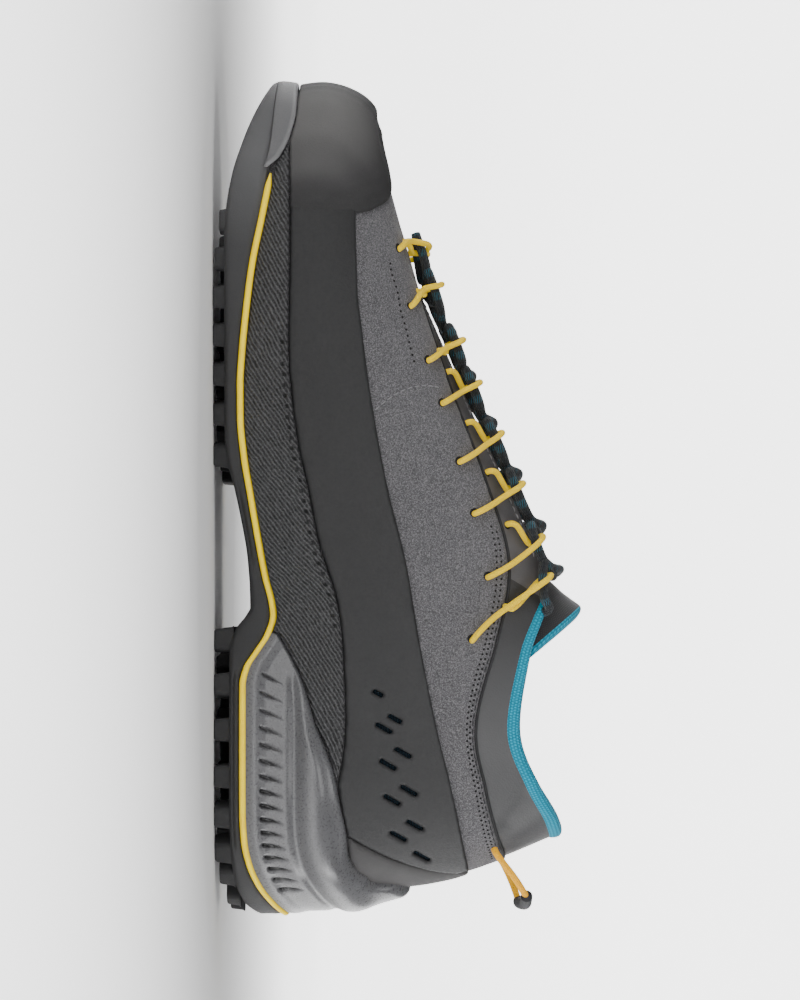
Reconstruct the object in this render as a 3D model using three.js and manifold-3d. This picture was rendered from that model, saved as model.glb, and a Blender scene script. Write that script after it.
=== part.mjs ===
// A low-cut approach shoe for the right foot, built as its maker puts it together.
// Millimetres, +Z up, toe towards +X, the big-toe side towards +Y, standing on its lugs at Z = 0.
import * as THREE from 'three';
import { mergeVertices } from 'three/addons/utils/BufferGeometryUtils.js';
import Module from 'manifold-3d';

const wasm = await Module();
wasm.setup();

// Driving sizes
const SOLE_LENGTH = 295;
const BALL_WIDTH = 108;
const COLLAR_HEIGHT = 119.5;
const INSTEP_HEIGHT = 116;
const STACK_HEIGHT = 27;
const CLEARANCE = 0.35;

// Upper
const WALL = 2.2;
const EYESTAY_STEP = 0.9;
const PANEL_THICKNESS = 1.6;
const RAND_THICKNESS = 2.6;
const TOE_CAP_THICKNESS = 2.2;
const COUNTER_THICKNESS = 2.2;

// Sole unit
const BEAD_THICKNESS = 2.4;
const BEAD_PROUD = 0.7;
const BEAD_WIDTH = 5.5;
const LUG_LENGTH = 8.5;
const LUG_WIDTH = 10;
const LUG_INSET = 6.5;
const STUD_RADIUS = 5.2;
const STUD_PITCH = 14;
const RIB_COUNT = 16;
const RIB_PITCH = 5;
const RIB_WIDTH = 1.1;
const RIB_DEPTH = 1.4;
const INSOLE_THICKNESS = 4;

// Closure
const LACE_DIAMETER = 3.6;
const LOOP_CORD_DIAMETER = 2.1;
const PULL_CORD_DIAMETER = 2.4;
const SLEEVE_DIAMETER = 4.2;

// A table with named columns: the first argument names them, and each row becomes one object.
function table(columns, ...rows) {
  const names = columns.split(' ');
  return rows.map((row) => Object.fromEntries(names.map((name, i) => [name, row[i]])));
}

// Sections round the last, from the heel to the toe. along and edgeAlong are shares of SOLE_LENGTH,
// medial, lateral and their edge columns of BALL_WIDTH, base of STACK_HEIGHT and edgeUp of INSTEP_HEIGHT
// or, behind the top eyelet, of COLLAR_HEIGHT. The wall runs from the sole's outline to the throat or
// collar edge: foot, belly, shoulder and dome say how far in it stands and, with Up, how high, as shares
// of that way. A column that ends in L is for the lateral side. suede is where the suede stops, and pad
// the rim's thickness.
const SECTIONS = table(
  'along medial lateral base edgeAlong edgeMedial edgeLateral edgeUp '
    + 'foot belly bellyUp shoulder shoulderUp dome domeUp '
    + 'bellyL shoulderL shoulderUpL domeL domeUpL suede pad',
  [0.000, 0.014, -0.014, 0.30, 0.092, 0.020, -0.020, 1.000, 0.38, 0.41, 0.33, 0.49, 0.645, 0.70, 0.825,
    0.41, 0.49, 0.645, 0.70, 0.825, 3.05, 8.0],
  [0.018, 0.170, 0.143, 0.30, 0.097, 0.121, 0.080, 0.999, 0.38, 0.41, 0.33, 0.50, 0.645, 0.70, 0.825,
    0.41, 0.50, 0.645, 0.70, 0.825, 3.05, 8.0],
  [0.061, 0.312, 0.281, 0.30, 0.119, 0.218, 0.172, 0.979, 0.48, 0.47, 0.34, 0.53, 0.650, 0.73, 0.835,
    0.47, 0.53, 0.650, 0.73, 0.835, 2.95, 7.5],
  [0.147, 0.402, 0.361, 0.30, 0.159, 0.298, 0.238, 0.925, 0.66, 0.64, 0.36, 0.67, 0.680, 0.82, 0.860,
    0.64, 0.67, 0.680, 0.82, 0.860, 2.88, 7.0],
  [0.254, 0.398, 0.392, 0.33, 0.224, 0.322, 0.266, 0.870, 0.78, 0.70, 0.38, 0.74, 0.695, 0.86, 0.870,
    0.72, 0.77, 0.695, 0.88, 0.870, 2.95, 6.5],
  [0.356, 0.356, 0.421, 0.44, 0.315, 0.306, 0.264, 0.908, 0.25, 0.10, 0.31, 0.12, 0.600, 0.42, 0.830,
    0.22, 0.34, 0.600, 0.62, 0.830, 3.35, 4.5],
  [0.458, 0.375, 0.440, 0.41, 0.400, 0.245, 0.194, 1.000, 0.15, 0.02, 0.28, 0.06, 0.540, 0.40, 0.820,
    0.12, 0.24, 0.500, 0.54, 0.780, 3.25, 3.0],
  [0.559, 0.426, 0.477, 0.33, 0.502, 0.181, 0.144, 0.905, 0.12, 0.07, 0.27, 0.12, 0.560, 0.42, 0.840,
    0.09, 0.25, 0.510, 0.55, 0.790, 3.25, 2.2],
  [0.654, 0.472, 0.500, 0.30, 0.597, 0.144, 0.125, 0.793, 0.11, 0.075, 0.285, 0.14, 0.570, 0.45, 0.845,
    0.075, 0.26, 0.500, 0.55, 0.800, 3.35, 2.2],
  [0.746, 0.496, 0.486, 0.37, 0.675, 0.144, 0.093, 0.707, 0.10, 0.070, 0.305, 0.15, 0.600, 0.45, 0.850,
    0.070, 0.25, 0.510, 0.53, 0.790, 3.40, 2.2],
  [0.837, 0.479, 0.403, 0.52, 0.725, 0.148, 0.051, 0.651, 0.09, 0.065, 0.340, 0.16, 0.620, 0.42, 0.830,
    0.065, 0.22, 0.540, 0.50, 0.780, 3.45, 2.2],
  [0.915, 0.424, 0.269, 0.70, 0.759, 0.139, 0.014, 0.612, 0.08, 0.055, 0.365, 0.15, 0.655, 0.38, 0.815,
    0.055, 0.20, 0.580, 0.45, 0.790, 3.60, 2.2],
  [0.973, 0.319, 0.102, 0.78, 0.773, 0.106, -0.023, 0.597, 0.07, 0.042, 0.380, 0.14, 0.660, 0.34, 0.765,
    0.042, 0.16, 0.620, 0.36, 0.745, 3.80, 2.2],
  [1.000, 0.111, -0.111, 0.81, 0.778, 0.065, -0.065, 0.595, 0.07, 0.038, 0.380, 0.13, 0.670, 0.30, 0.735,
    0.038, 0.13, 0.670, 0.30, 0.735, 3.85, 2.2],
);
const COLLAR_ROWS = 6;

// Heights along the sole, as shares of SOLE_LENGTH and STACK_HEIGHT
const PLATE_BOTTOM = [[0, 0.52], [0.017, 0.35], [0.041, 0.26], [0.085, 0.21], [0.136, 0.2], [0.322, 0.2],
  [0.345, 0.27], [0.373, 0.47], [0.43, 0.433], [0.475, 0.352], [0.515, 0.26], [0.545, 0.178], [0.576, 0.148],
  [0.797, 0.148], [0.837, 0.167], [0.881, 0.24], [0.922, 0.37], [0.966, 0.555], [1, 0.74]];
const BEAD_HEIGHT = [[0, 0.9], [0.018, 0.726], [0.04, 0.57], [0.067, 0.452], [0.094, 0.393], [0.13, 0.374],
  [0.281, 0.374], [0.302, 0.426], [0.32, 0.55], [0.342, 0.7], [0.363, 0.767], [0.378, 0.748],
  [0.407, 0.667], [0.454, 0.57], [0.508, 0.47], [0.552, 0.393], [0.597, 0.352], [0.634, 0.352],
  [0.668, 0.374], [0.722, 0.433], [0.776, 0.511], [0.83, 0.63], [0.875, 0.726], [0.922, 0.815],
  [1, 0.926]];
const FOOTBED = [[0, 1], [0.2, 1], [0.34, 0.963], [0.45, 0.815], [0.56, 0.667], [0.68, 0.593], [0.78, 0.667],
  [0.86, 0.81], [0.93, 0.926], [1, 1.04]];
// The lowest rubber follows the floor, and lifts at the back of the heel and towards the toe.
const TREAD = [[0, 0.26], [0.034, 0.13], [0.061, 0.055], [0.095, 0], [0.752, 0], [0.797, 0.045], [0.83, 0.09],
  [1, 0.6]];

// Lines on the side of the shoe, as shares of SOLE_LENGTH and INSTEP_HEIGHT
const CUP_LINE = [[0.02, 0.60], [0.033, 0.553], [0.039, 0.49], [0.05, 0.434], [0.072, 0.405], [0.1, 0.398],
  [0.14, 0.378], [0.175, 0.362], [0.205, 0.336], [0.238, 0.302], [0.28, 0.272], [0.315, 0.234],
  [0.342, 0.195]];
const RAND_LINE = [[0.16, 0.366], [0.19, 0.382], [0.237, 0.392], [0.325, 0.384], [0.373, 0.37], [0.454, 0.31],
  [0.508, 0.284], [0.58, 0.246], [0.68, 0.224], [0.797, 0.228], [0.95, 0.228]];
const PANEL_LINE = [[0.03, 0.77], [0.055, 0.767], [0.081, 0.754], [0.153, 0.716], [0.224, 0.672],
  [0.325, 0.62], [0.424, 0.577], [0.512, 0.522], [0.563, 0.496], [0.644, 0.461], [0.695, 0.444],
  [0.746, 0.429], [0.86, 0.422], [0.96, 0.43]];
const COUNTER_SEAM = [[0.108, 0.37], [0.083, 0.486], [0.068, 0.578], [0.058, 0.668], [0.052, 0.79]];
const TOE_WRAP_LINE = [[0.886, 0.165], [0.898, 0.2], [0.93, 0.236], [0.955, 0.25], [1.02, 0.258]];
// The cap's back edge seen from above, as shares of SOLE_LENGTH and BALL_WIDTH
const TOE_CAP_LINE = [[0.836, 0.62], [0.836, 0.43], [0.846, 0.385], [0.866, 0.315], [0.888, 0.254],
  [0.912, 0.2], [0.925, 0.157], [0.927, 0.087], [0.92, 0], [0.904, -0.07], [0.881, -0.141], [0.85, -0.211],
  [0.815, -0.273], [0.802, -0.32], [0.8, -0.62]];

// Height at a place along the sole, straight between a line's points
function heightOn(line, along, unit) {
  const last = line.length - 1;
  if (along <= line[0][0]) return line[0][1] * unit;
  if (along >= line[last][0]) return line[last][1] * unit;
  const i = line.findIndex((point) => point[0] > along) - 1;
  const share = (along - line[i][0]) / (line[i + 1][0] - line[i][0]);
  return THREE.MathUtils.lerp(line[i][1], line[i + 1][1], share) * unit;
}

const soleHeight = (line, x) => heightOn(line, x / SOLE_LENGTH, STACK_HEIGHT);

function catmull(a, b, c, d, t) {
  const t2 = t * t;
  const t3 = t2 * t;
  return 0.5 * (2 * b + (c - a) * t + (2 * a - 5 * b + 4 * c - d) * t2 + (3 * b - a - 3 * c + d) * t3);
}

function catmullPoint(a, b, c, d, t) {
  return new THREE.Vector3(
    catmull(a.x, b.x, c.x, d.x, t), catmull(a.y, b.y, c.y, d.y, t), catmull(a.z, b.z, c.z, d.z, t));
}

// One station of the loop round the shoe: heel, up the medial side, toe, back along the lateral side
const LAST_ROW = SECTIONS.length - 1;
const STATION_COUNT = 2 * LAST_ROW;

function station(index) {
  const n = ((index % STATION_COUNT) + STATION_COUNT) % STATION_COUNT;
  const medial = n <= LAST_ROW;
  const rowIndex = medial ? n : STATION_COUNT - n;
  const row = SECTIONS[rowIndex];
  const side = medial ? 1 : -1;
  const pick = (name) => (medial ? row[name] : row[`${name}L`]);
  const outline = new THREE.Vector3(
    row.along * SOLE_LENGTH, side * (medial ? row.medial : row.lateral) * BALL_WIDTH, 0);
  const edge = new THREE.Vector3(
    row.edgeAlong * SOLE_LENGTH,
    side * (medial ? row.edgeMedial : row.edgeLateral) * BALL_WIDTH,
    row.edgeUp * (rowIndex < COLLAR_ROWS ? COLLAR_HEIGHT : INSTEP_HEIGHT));
  const base = row.base * STACK_HEIGHT;
  const at = (inward, up) => {
    const point = outline.clone().lerp(edge, inward);
    return point.setZ(THREE.MathUtils.lerp(base, edge.z, up));
  };
  return {
    outline,
    profile: [
      at(row.foot, 0),
      at(pick('belly'), row.bellyUp),
      at(pick('shoulder'), medial ? row.shoulderUp : row.shoulderUpL),
      at(pick('dome'), medial ? row.domeUp : row.domeUpL),
      edge,
    ],
    suede: row.suede,
    pad: row.pad,
  };
}

const STATIONS = Array.from({ length: STATION_COUNT }, (_, i) => station(i));
const around = (i) => STATIONS[((i % STATION_COUNT) + STATION_COUNT) % STATION_COUNT];

// Any value of the stations at a place u round the loop
function roundTheLoop(u, value, blend) {
  const i = Math.floor(u);
  return blend(value(around(i - 1)), value(around(i)), value(around(i + 1)), value(around(i + 2)), u - i);
}

const outlineAt = (u) => roundTheLoop(u, (s) => s.outline, catmullPoint);
const suedeAt = (u) => roundTheLoop(u, (s) => s.suede, catmull);
const padAt = (u) => roundTheLoop(u, (s) => s.pad, catmull);

// The last's surface: u goes round the shoe and v climbs from 0 at the sole to 4 at the throat or collar edge
const TOP_ROW = 4;

function formPoint(u, v) {
  const points = [0, 1, 2, 3, 4].map((k) => roundTheLoop(u, (s) => s.profile[k], catmullPoint));
  const first = points[0].clone().multiplyScalar(2).sub(points[1]);
  const last = points[4].clone().multiplyScalar(2).sub(points[3]);
  const all = [first, ...points, last];
  const i = Math.min(Math.floor(v), TOP_ROW - 1);
  return catmullPoint(all[i], all[i + 1], all[i + 2], all[i + 3], v - i);
}

function formNormal(u, v) {
  const step = 0.02;
  const along = formPoint(u + step, v).sub(formPoint(u - step, v));
  const up = formPoint(u, Math.min(v + step, TOP_ROW)).sub(formPoint(u, Math.max(v - step, 0)));
  return up.cross(along).normalize();
}

const offsetPoint = (u, v, distance) => formPoint(u, v).addScaledVector(formNormal(u, v), distance);

// Places round the loop where the solids have a column: how many follow each section, from heel to toe
const COLUMN_PARTS = [2, 2, 2, 1, 3, 3, 1, 1, 1, 1, 2, 2, 2];
const COLUMNS = STATIONS.flatMap((_, i) => {
  const parts = COLUMN_PARTS[i < LAST_ROW ? i : STATION_COUNT - 1 - i];
  return Array.from({ length: parts }, (__, k) => i + k / parts);
});
const N = COLUMNS.length;

// Geometry helpers
function bufferOf(points, triangles) {
  const geometry = new THREE.BufferGeometry();
  const values = points.flatMap((p) => [p.x, p.y, p.z]);
  geometry.setAttribute('position', new THREE.Float32BufferAttribute(values, 3));
  geometry.setIndex(triangles.flat());
  return geometry;
}

function solidOf(geometry) {
  const plain = new THREE.BufferGeometry().setAttribute('position', geometry.getAttribute('position'));
  plain.setIndex(geometry.index);
  const merged = mergeVertices(plain, 1e-4);
  const index = Array.from(merged.index.array);
  const tidy = [];
  for (let i = 0; i < index.length; i += 3) {
    const [a, b, c] = index.slice(i, i + 3);
    if (a !== b && b !== c && c !== a) tidy.push(a, b, c);
  }
  const mesh = () => new wasm.Mesh({
    numProp: 3,
    vertProperties: merged.attributes.position.array,
    triVerts: new Uint32Array(tidy),
  });
  const made = new wasm.Manifold(mesh());
  if (made.volume() > 0) return made;
  for (let i = 0; i < tidy.length; i += 3) [tidy[i], tidy[i + 1]] = [tidy[i + 1], tidy[i]];
  return new wasm.Manifold(mesh());
}

function geometryOf(solid) {
  const mesh = solid.getMesh();
  const geometry = new THREE.BufferGeometry();
  geometry.setAttribute('position', new THREE.BufferAttribute(new Float32Array(mesh.vertProperties), 3));
  geometry.setIndex(new THREE.BufferAttribute(new Uint32Array(mesh.triVerts), 1));
  const flat = geometry.toNonIndexed();
  flat.computeVertexNormals();
  return flat;
}

function wallTriangles(loops, closed) {
  const triangles = [];
  const size = loops[0].length;
  const strips = closed ? loops.length : loops.length - 1;
  for (let i = 0; i < strips; i += 1) {
    const a = i * size;
    const b = ((i + 1) % loops.length) * size;
    for (let j = 0; j < size; j += 1) {
      const k = (j + 1) % size;
      triangles.push([a + j, a + k, b + k], [a + j, b + k, b + j]);
    }
  }
  return triangles;
}

// A cap between the two halves of a loop, rung by rung
function capTriangles(size, offset, flipped) {
  const triangles = [];
  for (let j = 0; j < size / 2; j += 1) {
    const [a, b, c, d] = [j, j + 1, size - j - 1, (size - j) % size].map((k) => offset + k);
    if (a !== d) triangles.push([a, c, d]);
    if (b !== c) triangles.push([a, b, c]);
  }
  return flipped ? triangles.map(([a, b, c]) => [a, c, b]) : triangles;
}

// A ring, such as a hollow wall: its loops close on the first one
const ringSolid = (loops) => solidOf(bufferOf(loops.flat(), wallTriangles(loops, true)));

// A filled body: its loops are capped at both ends
function filledSolid(loops) {
  const size = loops[0].length;
  const triangles = [
    ...wallTriangles(loops, false),
    ...capTriangles(size, 0, true),
    ...capTriangles(size, (loops.length - 1) * size, false),
  ];
  return solidOf(bufferOf(loops.flat(), triangles));
}

// An outline of [x, z] points pushed along Y from y0 to y1
function sidePrism(points, y0, y1) {
  const shape = new THREE.Shape(points.map(([x, z]) => new THREE.Vector2(x, z)));
  const geometry = new THREE.ExtrudeGeometry(shape, { depth: y1 - y0, bevelEnabled: false });
  geometry.rotateX(Math.PI / 2);
  geometry.translate(0, y1, 0);
  return solidOf(geometry);
}

// An outline of [x, y] points pushed up from z0 to z1
function planPrism(points, z0, z1) {
  const shape = new THREE.Shape(points.map(([x, y]) => new THREE.Vector2(x, y)));
  const geometry = new THREE.ExtrudeGeometry(shape, { depth: z1 - z0, bevelEnabled: false });
  geometry.translate(0, 0, z0);
  return solidOf(geometry);
}

// A round cord along a smooth curve
function cordSolid(points, diameter, sides, steps) {
  const section = new THREE.Shape();
  for (let i = 0; i < sides; i += 1) {
    const turn = (i / sides) * 2 * Math.PI;
    const [x, y] = [Math.cos(turn) * diameter / 2, Math.sin(turn) * diameter / 2];
    if (i === 0) section.moveTo(x, y);
    else section.lineTo(x, y);
  }
  const curve = new THREE.CatmullRomCurve3(points, false, 'centripetal');
  return solidOf(new THREE.ExtrudeGeometry(section, { steps, extrudePath: curve, bevelEnabled: false }));
}

const joined = (solids) => solids.reduce((all, next) => all.add(next));
const inMillimetres = (line, unit) => line.map(([along, up]) => [along * SOLE_LENGTH, up * unit]);
const onSide = (line) => inMillimetres(line, INSTEP_HEIGHT);
const onSole = (line) => inMillimetres(line, STACK_HEIGHT);
const lifted = (line, by) => line.map(([x, z]) => [x, z + by]);

const REACH = SOLE_LENGTH;
const ABOVE = 2 * INSTEP_HEIGHT;
const above = (line) => sidePrism([[-REACH, line[0][1]], ...line, [2 * REACH, line.at(-1)[1]],
  [2 * REACH, ABOVE], [-REACH, ABOVE]], -REACH, REACH);
const below = (line) => sidePrism([[-REACH, -REACH], [2 * REACH, -REACH], [2 * REACH, line.at(-1)[1]],
  ...[...line].reverse(), [-REACH, line[0][1]]], -REACH, REACH);

// Rows of the last's surface up to the suede's edge, and the eyestay and collar beyond it
const SUEDE_ROWS = [0, 0.8, 1.5, 2.2];
const STEP_SHARE = 0.05;

const loopAt = (vOf, distance) => COLUMNS.map((u) => offsetPoint(u, vOf(u), distance(u, vOf(u))));
const suedeLoops = (distance) => [
  ...SUEDE_ROWS.map((v) => loopAt(() => v, () => distance)),
  loopAt((u) => suedeAt(u) - STEP_SHARE, () => distance),
];

// A band of even thickness over the suede, from which the overlays are cut
const band = (inner, outer) => ringSolid([...suedeLoops(inner), ...suedeLoops(outer).reverse()]);

// The whole last, filled, grown outwards by a distance
const filledForm = (distance) => filledSolid([
  ...suedeLoops(distance), loopAt(() => TOP_ROW, () => distance)]);

// The upper: one hollow wall, thicker at the padded collar, stepped down at the eyestay and collar panel
const PAD_START = 2;
const PAD_FULL = 3.5;
const RIM_CROWN = 0.3;

function wallAt(u, v) {
  return WALL + (padAt(u) - WALL) * THREE.MathUtils.smoothstep(v, PAD_START, PAD_FULL);
}

function upperShell(grow) {
  const stepped = () => grow - EYESTAY_STEP;
  const inward = (u, v) => -Math.max(wallAt(u, v), WALL) - grow;
  const outerRim = loopAt(() => TOP_ROW, stepped);
  const innerRim = loopAt(() => TOP_ROW, inward);
  const crown = outerRim.map((point, j) => {
    const across = point.distanceTo(innerRim[j]);
    return point.clone().lerp(innerRim[j], 0.5).setZ((point.z + innerRim[j].z) / 2 + RIM_CROWN * across);
  });
  return ringSolid([
    ...suedeLoops(grow), loopAt((u) => suedeAt(u) + STEP_SHARE, stepped), outerRim, crown, innerRim,
    ...[3.4, 2.7, 1.9, 1, 0].map((v) => loopAt(() => v, inward)),
  ]);
}

const upper = () => upperShell(0).intersect(above(lifted(onSole(FOOTBED), CLEARANCE)));

// Overlays
const sideOnly = (sign) => (sign > 0
  ? planPrism([[-REACH, 0], [2 * REACH, 0], [2 * REACH, REACH], [-REACH, REACH]], -REACH, ABOVE)
  : planPrism([[-REACH, -REACH], [2 * REACH, -REACH], [2 * REACH, 0], [-REACH, 0]], -REACH, ABOVE));

const capRegion = (shift) => planPrism([
  ...TOE_CAP_LINE.map(([x, y]) => [x * SOLE_LENGTH + shift, y * BALL_WIDTH]),
  [2 * REACH, TOE_CAP_LINE.at(-1)[1] * BALL_WIDTH], [2 * REACH, TOE_CAP_LINE[0][1] * BALL_WIDTH],
], -REACH, ABOVE);

const seamPrism = (shift) => {
  const seam = onSide(COUNTER_SEAM).map(([x, z]) => [x + shift, z]);
  return sidePrism([[-REACH, seam[0][1] - REACH], [seam[0][0], seam[0][1] - REACH], ...seam,
    [seam.at(-1)[0], ABOVE], [-REACH, ABOVE]], -REACH, REACH);
};

// What the rand and panel stand on: the midsole's cup behind the arch, and the bead in front of it
const beadTop = lifted(onSole(BEAD_HEIGHT), BEAD_THICKNESS / 2);
const cupLine = onSide(CUP_LINE);
const CUP_FRONT = cupLine.at(-1)[0];
const TOE_WRAP_START = TOE_WRAP_LINE[0][0] * SOLE_LENGTH;
const seatLine = [...cupLine, ...beadTop.filter(([x]) => x > CUP_FRONT)];

const toeWrapRegion = (grow) => {
  const line = lifted(onSide(TOE_WRAP_LINE), grow);
  return sidePrism([[line[0][0] - grow, 0], [line[0][0] - grow, line[0][1]], ...line,
    [2 * REACH, line.at(-1)[1]], [2 * REACH, 0]], -REACH, REACH);
};

function rand(sign) {
  return band(CLEARANCE, CLEARANCE + RAND_THICKNESS)
    .intersect(above(lifted(seatLine, CLEARANCE)))
    .intersect(below(onSide(RAND_LINE)))
    .intersect(sideOnly(sign))
    .subtract(beadRing(() => 0, CLEARANCE))
    .subtract(toeWrapRegion(CLEARANCE))
    .subtract(seamPrism(CLEARANCE));
}

function sidePanel(sign) {
  return band(CLEARANCE, CLEARANCE + PANEL_THICKNESS)
    .intersect(above(lifted(onSide(RAND_LINE), CLEARANCE)))
    .intersect(above(lifted(seatLine, CLEARANCE)))
    .intersect(below(onSide(PANEL_LINE)))
    .intersect(sideOnly(sign))
    .subtract(capRegion(-CLEARANCE))
    .subtract(seamPrism(CLEARANCE))
    .subtract(slotCuts());
}

const SLOT_LENGTH = 6.4;
const SLOT_WIDTH = 1.8;
// Ventilation slots: where each one starts, as shares of SOLE_LENGTH and INSTEP_HEIGHT, and how long it is
const SLOTS = table('along up share', [0.271, 0.477, 0.6], [0.232, 0.485, 1], [0.189, 0.497, 1],
  [0.148, 0.509, 1], [0.105, 0.528, 1], [0.242, 0.523, 0.8], [0.203, 0.542, 1], [0.159, 0.560, 1],
  [0.118, 0.578, 1], [0.081, 0.599, 1]);
const SLOT_LEAN = 0.58;

function slotCuts() {
  return joined(SLOTS.map(({ along, up, share }) => {
    const [x, z] = [along * SOLE_LENGTH, up * INSTEP_HEIGHT];
    const rise = SLOT_LENGTH * share * 0.865;
    const back = rise * SLOT_LEAN;
    return sidePrism([[x, z], [x + SLOT_WIDTH, z + 0.4], [x + SLOT_WIDTH - back, z + rise],
      [x - back, z + rise - 0.4]], -REACH, REACH);
  }));
}

function heelCounter() {
  return band(CLEARANCE, CLEARANCE + COUNTER_THICKNESS)
    .intersect(above(lifted(seatLine, CLEARANCE)))
    .intersect(below(onSide(PANEL_LINE)))
    .intersect(seamPrism(0));
}

function toeCap() {
  return band(CLEARANCE, CLEARANCE + TOE_CAP_THICKNESS)
    .intersect(above(lifted(onSide(RAND_LINE), CLEARANCE)))
    .intersect(capRegion(0))
    .subtract(toeWrapRegion(CLEARANCE));
}

// Sole unit
const soleLoop = (inset, heightOf) => COLUMNS.map((u) => {
  const point = outlineAt(u);
  const height = heightOf(point.x);
  const step = 0.02;
  const along = outlineAt(u + step).sub(outlineAt(u - step)).normalize();
  point.addScaledVector(new THREE.Vector3(-along.y, along.x, 0), -inset);
  return point.setZ(height);
});

const beadAt = (by) => (x) => soleHeight(BEAD_HEIGHT, x) + by;

function lug(u, inset, length, width) {
  const at = outlineAt(u);
  const along = outlineAt(u + 0.02).sub(outlineAt(u - 0.02)).normalize();
  at.addScaledVector(new THREE.Vector3(-along.y, along.x, 0), -inset);
  const foot = soleHeight(TREAD, at.x);
  const top = soleHeight(PLATE_BOTTOM, at.x) + 1;
  const geometry = new THREE.BoxGeometry(length, width, top - foot);
  geometry.rotateZ(Math.atan2(along.y, along.x));
  geometry.translate(at.x, at.y, (foot + top) / 2);
  return solidOf(geometry);
}

function stud(x, y) {
  const foot = soleHeight(TREAD, x);
  const top = soleHeight(PLATE_BOTTOM, x) + 1;
  const geometry = new THREE.CylinderGeometry(STUD_RADIUS, STUD_RADIUS * 0.85, top - foot, 4);
  geometry.rotateX(Math.PI / 2);
  geometry.translate(x, y, (foot + top) / 2);
  return solidOf(geometry);
}

// Places round the loop of the edge lugs: forefoot and heel, on both sides, and across the heel's back
const LUG_PLACES = table('from to count', [6.9, 9.9, 7], [16.5, 19.3, 7], [1.7, 4.8, 7], [21.3, 24.4, 7],
  [-0.8, 0.8, 3]);
// Rows of studs across the middle: where they stand along the sole, how many, and their centre
const STUD_ROWS = table('along count centre', [0.86, 2, 0.07], [0.80, 3, 0.06], [0.745, 2, 0.03],
  [0.69, 3, -0.01], [0.635, 4, -0.02], [0.58, 3, -0.03], [0.30, 3, 0], [0.235, 2, 0.01], [0.17, 3, 0.01],
  [0.105, 2, 0.01]);

// The rubber plate under everything, with a level margin for the bead to lie on
function plate() {
  const bottom = (x) => soleHeight(PLATE_BOTTOM, x);
  return filledSolid([
    soleLoop(2, bottom),
    soleLoop(0, (x) => bottom(x) + 1.2),
    soleLoop(0, beadAt(-BEAD_THICKNESS / 2)),
    soleLoop(BEAD_WIDTH, beadAt(-BEAD_THICKNESS / 2)),
  ]);
}

function outsole() {
  const toeWrap = band(CLEARANCE, CLEARANCE + RAND_THICKNESS).intersect(toeWrapRegion(0));
  const lugs = LUG_PLACES.flatMap(({ from, to, count }) => Array.from({ length: count }, (_, i) => {
    const u = THREE.MathUtils.lerp(from, to, i / (count - 1));
    return lug(u, LUG_INSET, LUG_LENGTH, LUG_WIDTH);
  }));
  const studs = STUD_ROWS.flatMap(({ along, count, centre }) => Array.from({ length: count }, (_, i) => (
    stud(along * SOLE_LENGTH, centre * BALL_WIDTH + (i - (count - 1) / 2) * STUD_PITCH))));
  return joined([plate(), toeWrap, ...lugs, ...studs]);
}

const behindToeWrap = (gap) => sidePrism([[-REACH, -REACH], [TOE_WRAP_START - gap, -REACH],
  [TOE_WRAP_START - gap, ABOVE], [-REACH, ABOVE]], -REACH, REACH);

function beadRing(low, grow) {
  const high = beadAt(BEAD_THICKNESS / 2 + grow);
  const [inner, outer] = [BEAD_WIDTH + grow, -BEAD_PROUD - grow];
  return ringSolid([
    soleLoop(inner, low), soleLoop(outer, low), soleLoop(outer, high), soleLoop(inner, high)]);
}

const bead = () => beadRing(beadAt(CLEARANCE - BEAD_THICKNESS / 2), 0).intersect(behindToeWrap(CLEARANCE));

// The midsole's side: how far in from the outline it stands, and how high
const CUP_FORM = [[0.2, 0], [1.2, 8]];
const CUP_LIP = [[4.2, 0.38], [10, 0.57]];
// The ribs' grooves: a low row of slanted cuts, rising with the cup towards the front
const RIB_FIRST = 0.036;
const RIB_HEIGHT = 8.4;
const RIB_LEAN = 2.8;
const RIB_FOOT = 0.6;

function ribCuts() {
  const skin = ringSolid([
    soleLoop(RIB_DEPTH + 0.2, () => 0), soleLoop(-2, () => 0),
    soleLoop(-2, () => INSTEP_HEIGHT), soleLoop(RIB_DEPTH + 1.2, () => INSTEP_HEIGHT)]);
  const cuts = Array.from({ length: RIB_COUNT }, (_, i) => {
    const x = RIB_FIRST * SOLE_LENGTH + i * RIB_PITCH;
    const z = RIB_FOOT * STACK_HEIGHT;
    return sidePrism([[x, z], [x + RIB_WIDTH, z], [x + RIB_WIDTH - RIB_LEAN, z + RIB_HEIGHT],
      [x - RIB_LEAN, z + RIB_HEIGHT]], -REACH, REACH);
  });
  return joined(cuts).intersect(skin);
}

function midsole() {
  const under = beadAt(CLEARANCE - BEAD_THICKNESS / 2);
  const over = beadAt(CLEARANCE + BEAD_THICKNESS / 2);
  const footbed = (x) => soleHeight(FOOTBED, x);
  const underfoot = (heightOf) => COLUMNS.map((u) => {
    const point = formPoint(u, 0);
    return point.setZ(Math.max(heightOf(point.x), heightOf(outlineAt(u).x)));
  });
  const core = filledSolid([
    soleLoop(BEAD_WIDTH + CLEARANCE, under), soleLoop(BEAD_WIDTH + CLEARANCE, over),
    underfoot((x) => over(x) + 1), underfoot((x) => footbed(x) + BEAD_THICKNESS),
  ]).intersect(below(onSole(FOOTBED)));
  const cup = filledSolid([
    soleLoop(BEAD_WIDTH + 2, (x) => under(x) + 0.5),
    soleLoop(BEAD_WIDTH + CLEARANCE, over),
    ...CUP_FORM.map(([inset, up]) => soleLoop(inset, (x) => over(x) + up)),
    ...CUP_LIP.map(([inset, up]) => soleLoop(inset, () => up * INSTEP_HEIGHT)),
  ])
    .intersect(below([...cupLine, [CUP_FRONT + 1, 0]]))
    .subtract(filledForm(CLEARANCE).intersect(above(onSole(FOOTBED))));
  return joined([core, cup]).subtract(ribCuts());
}

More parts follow.
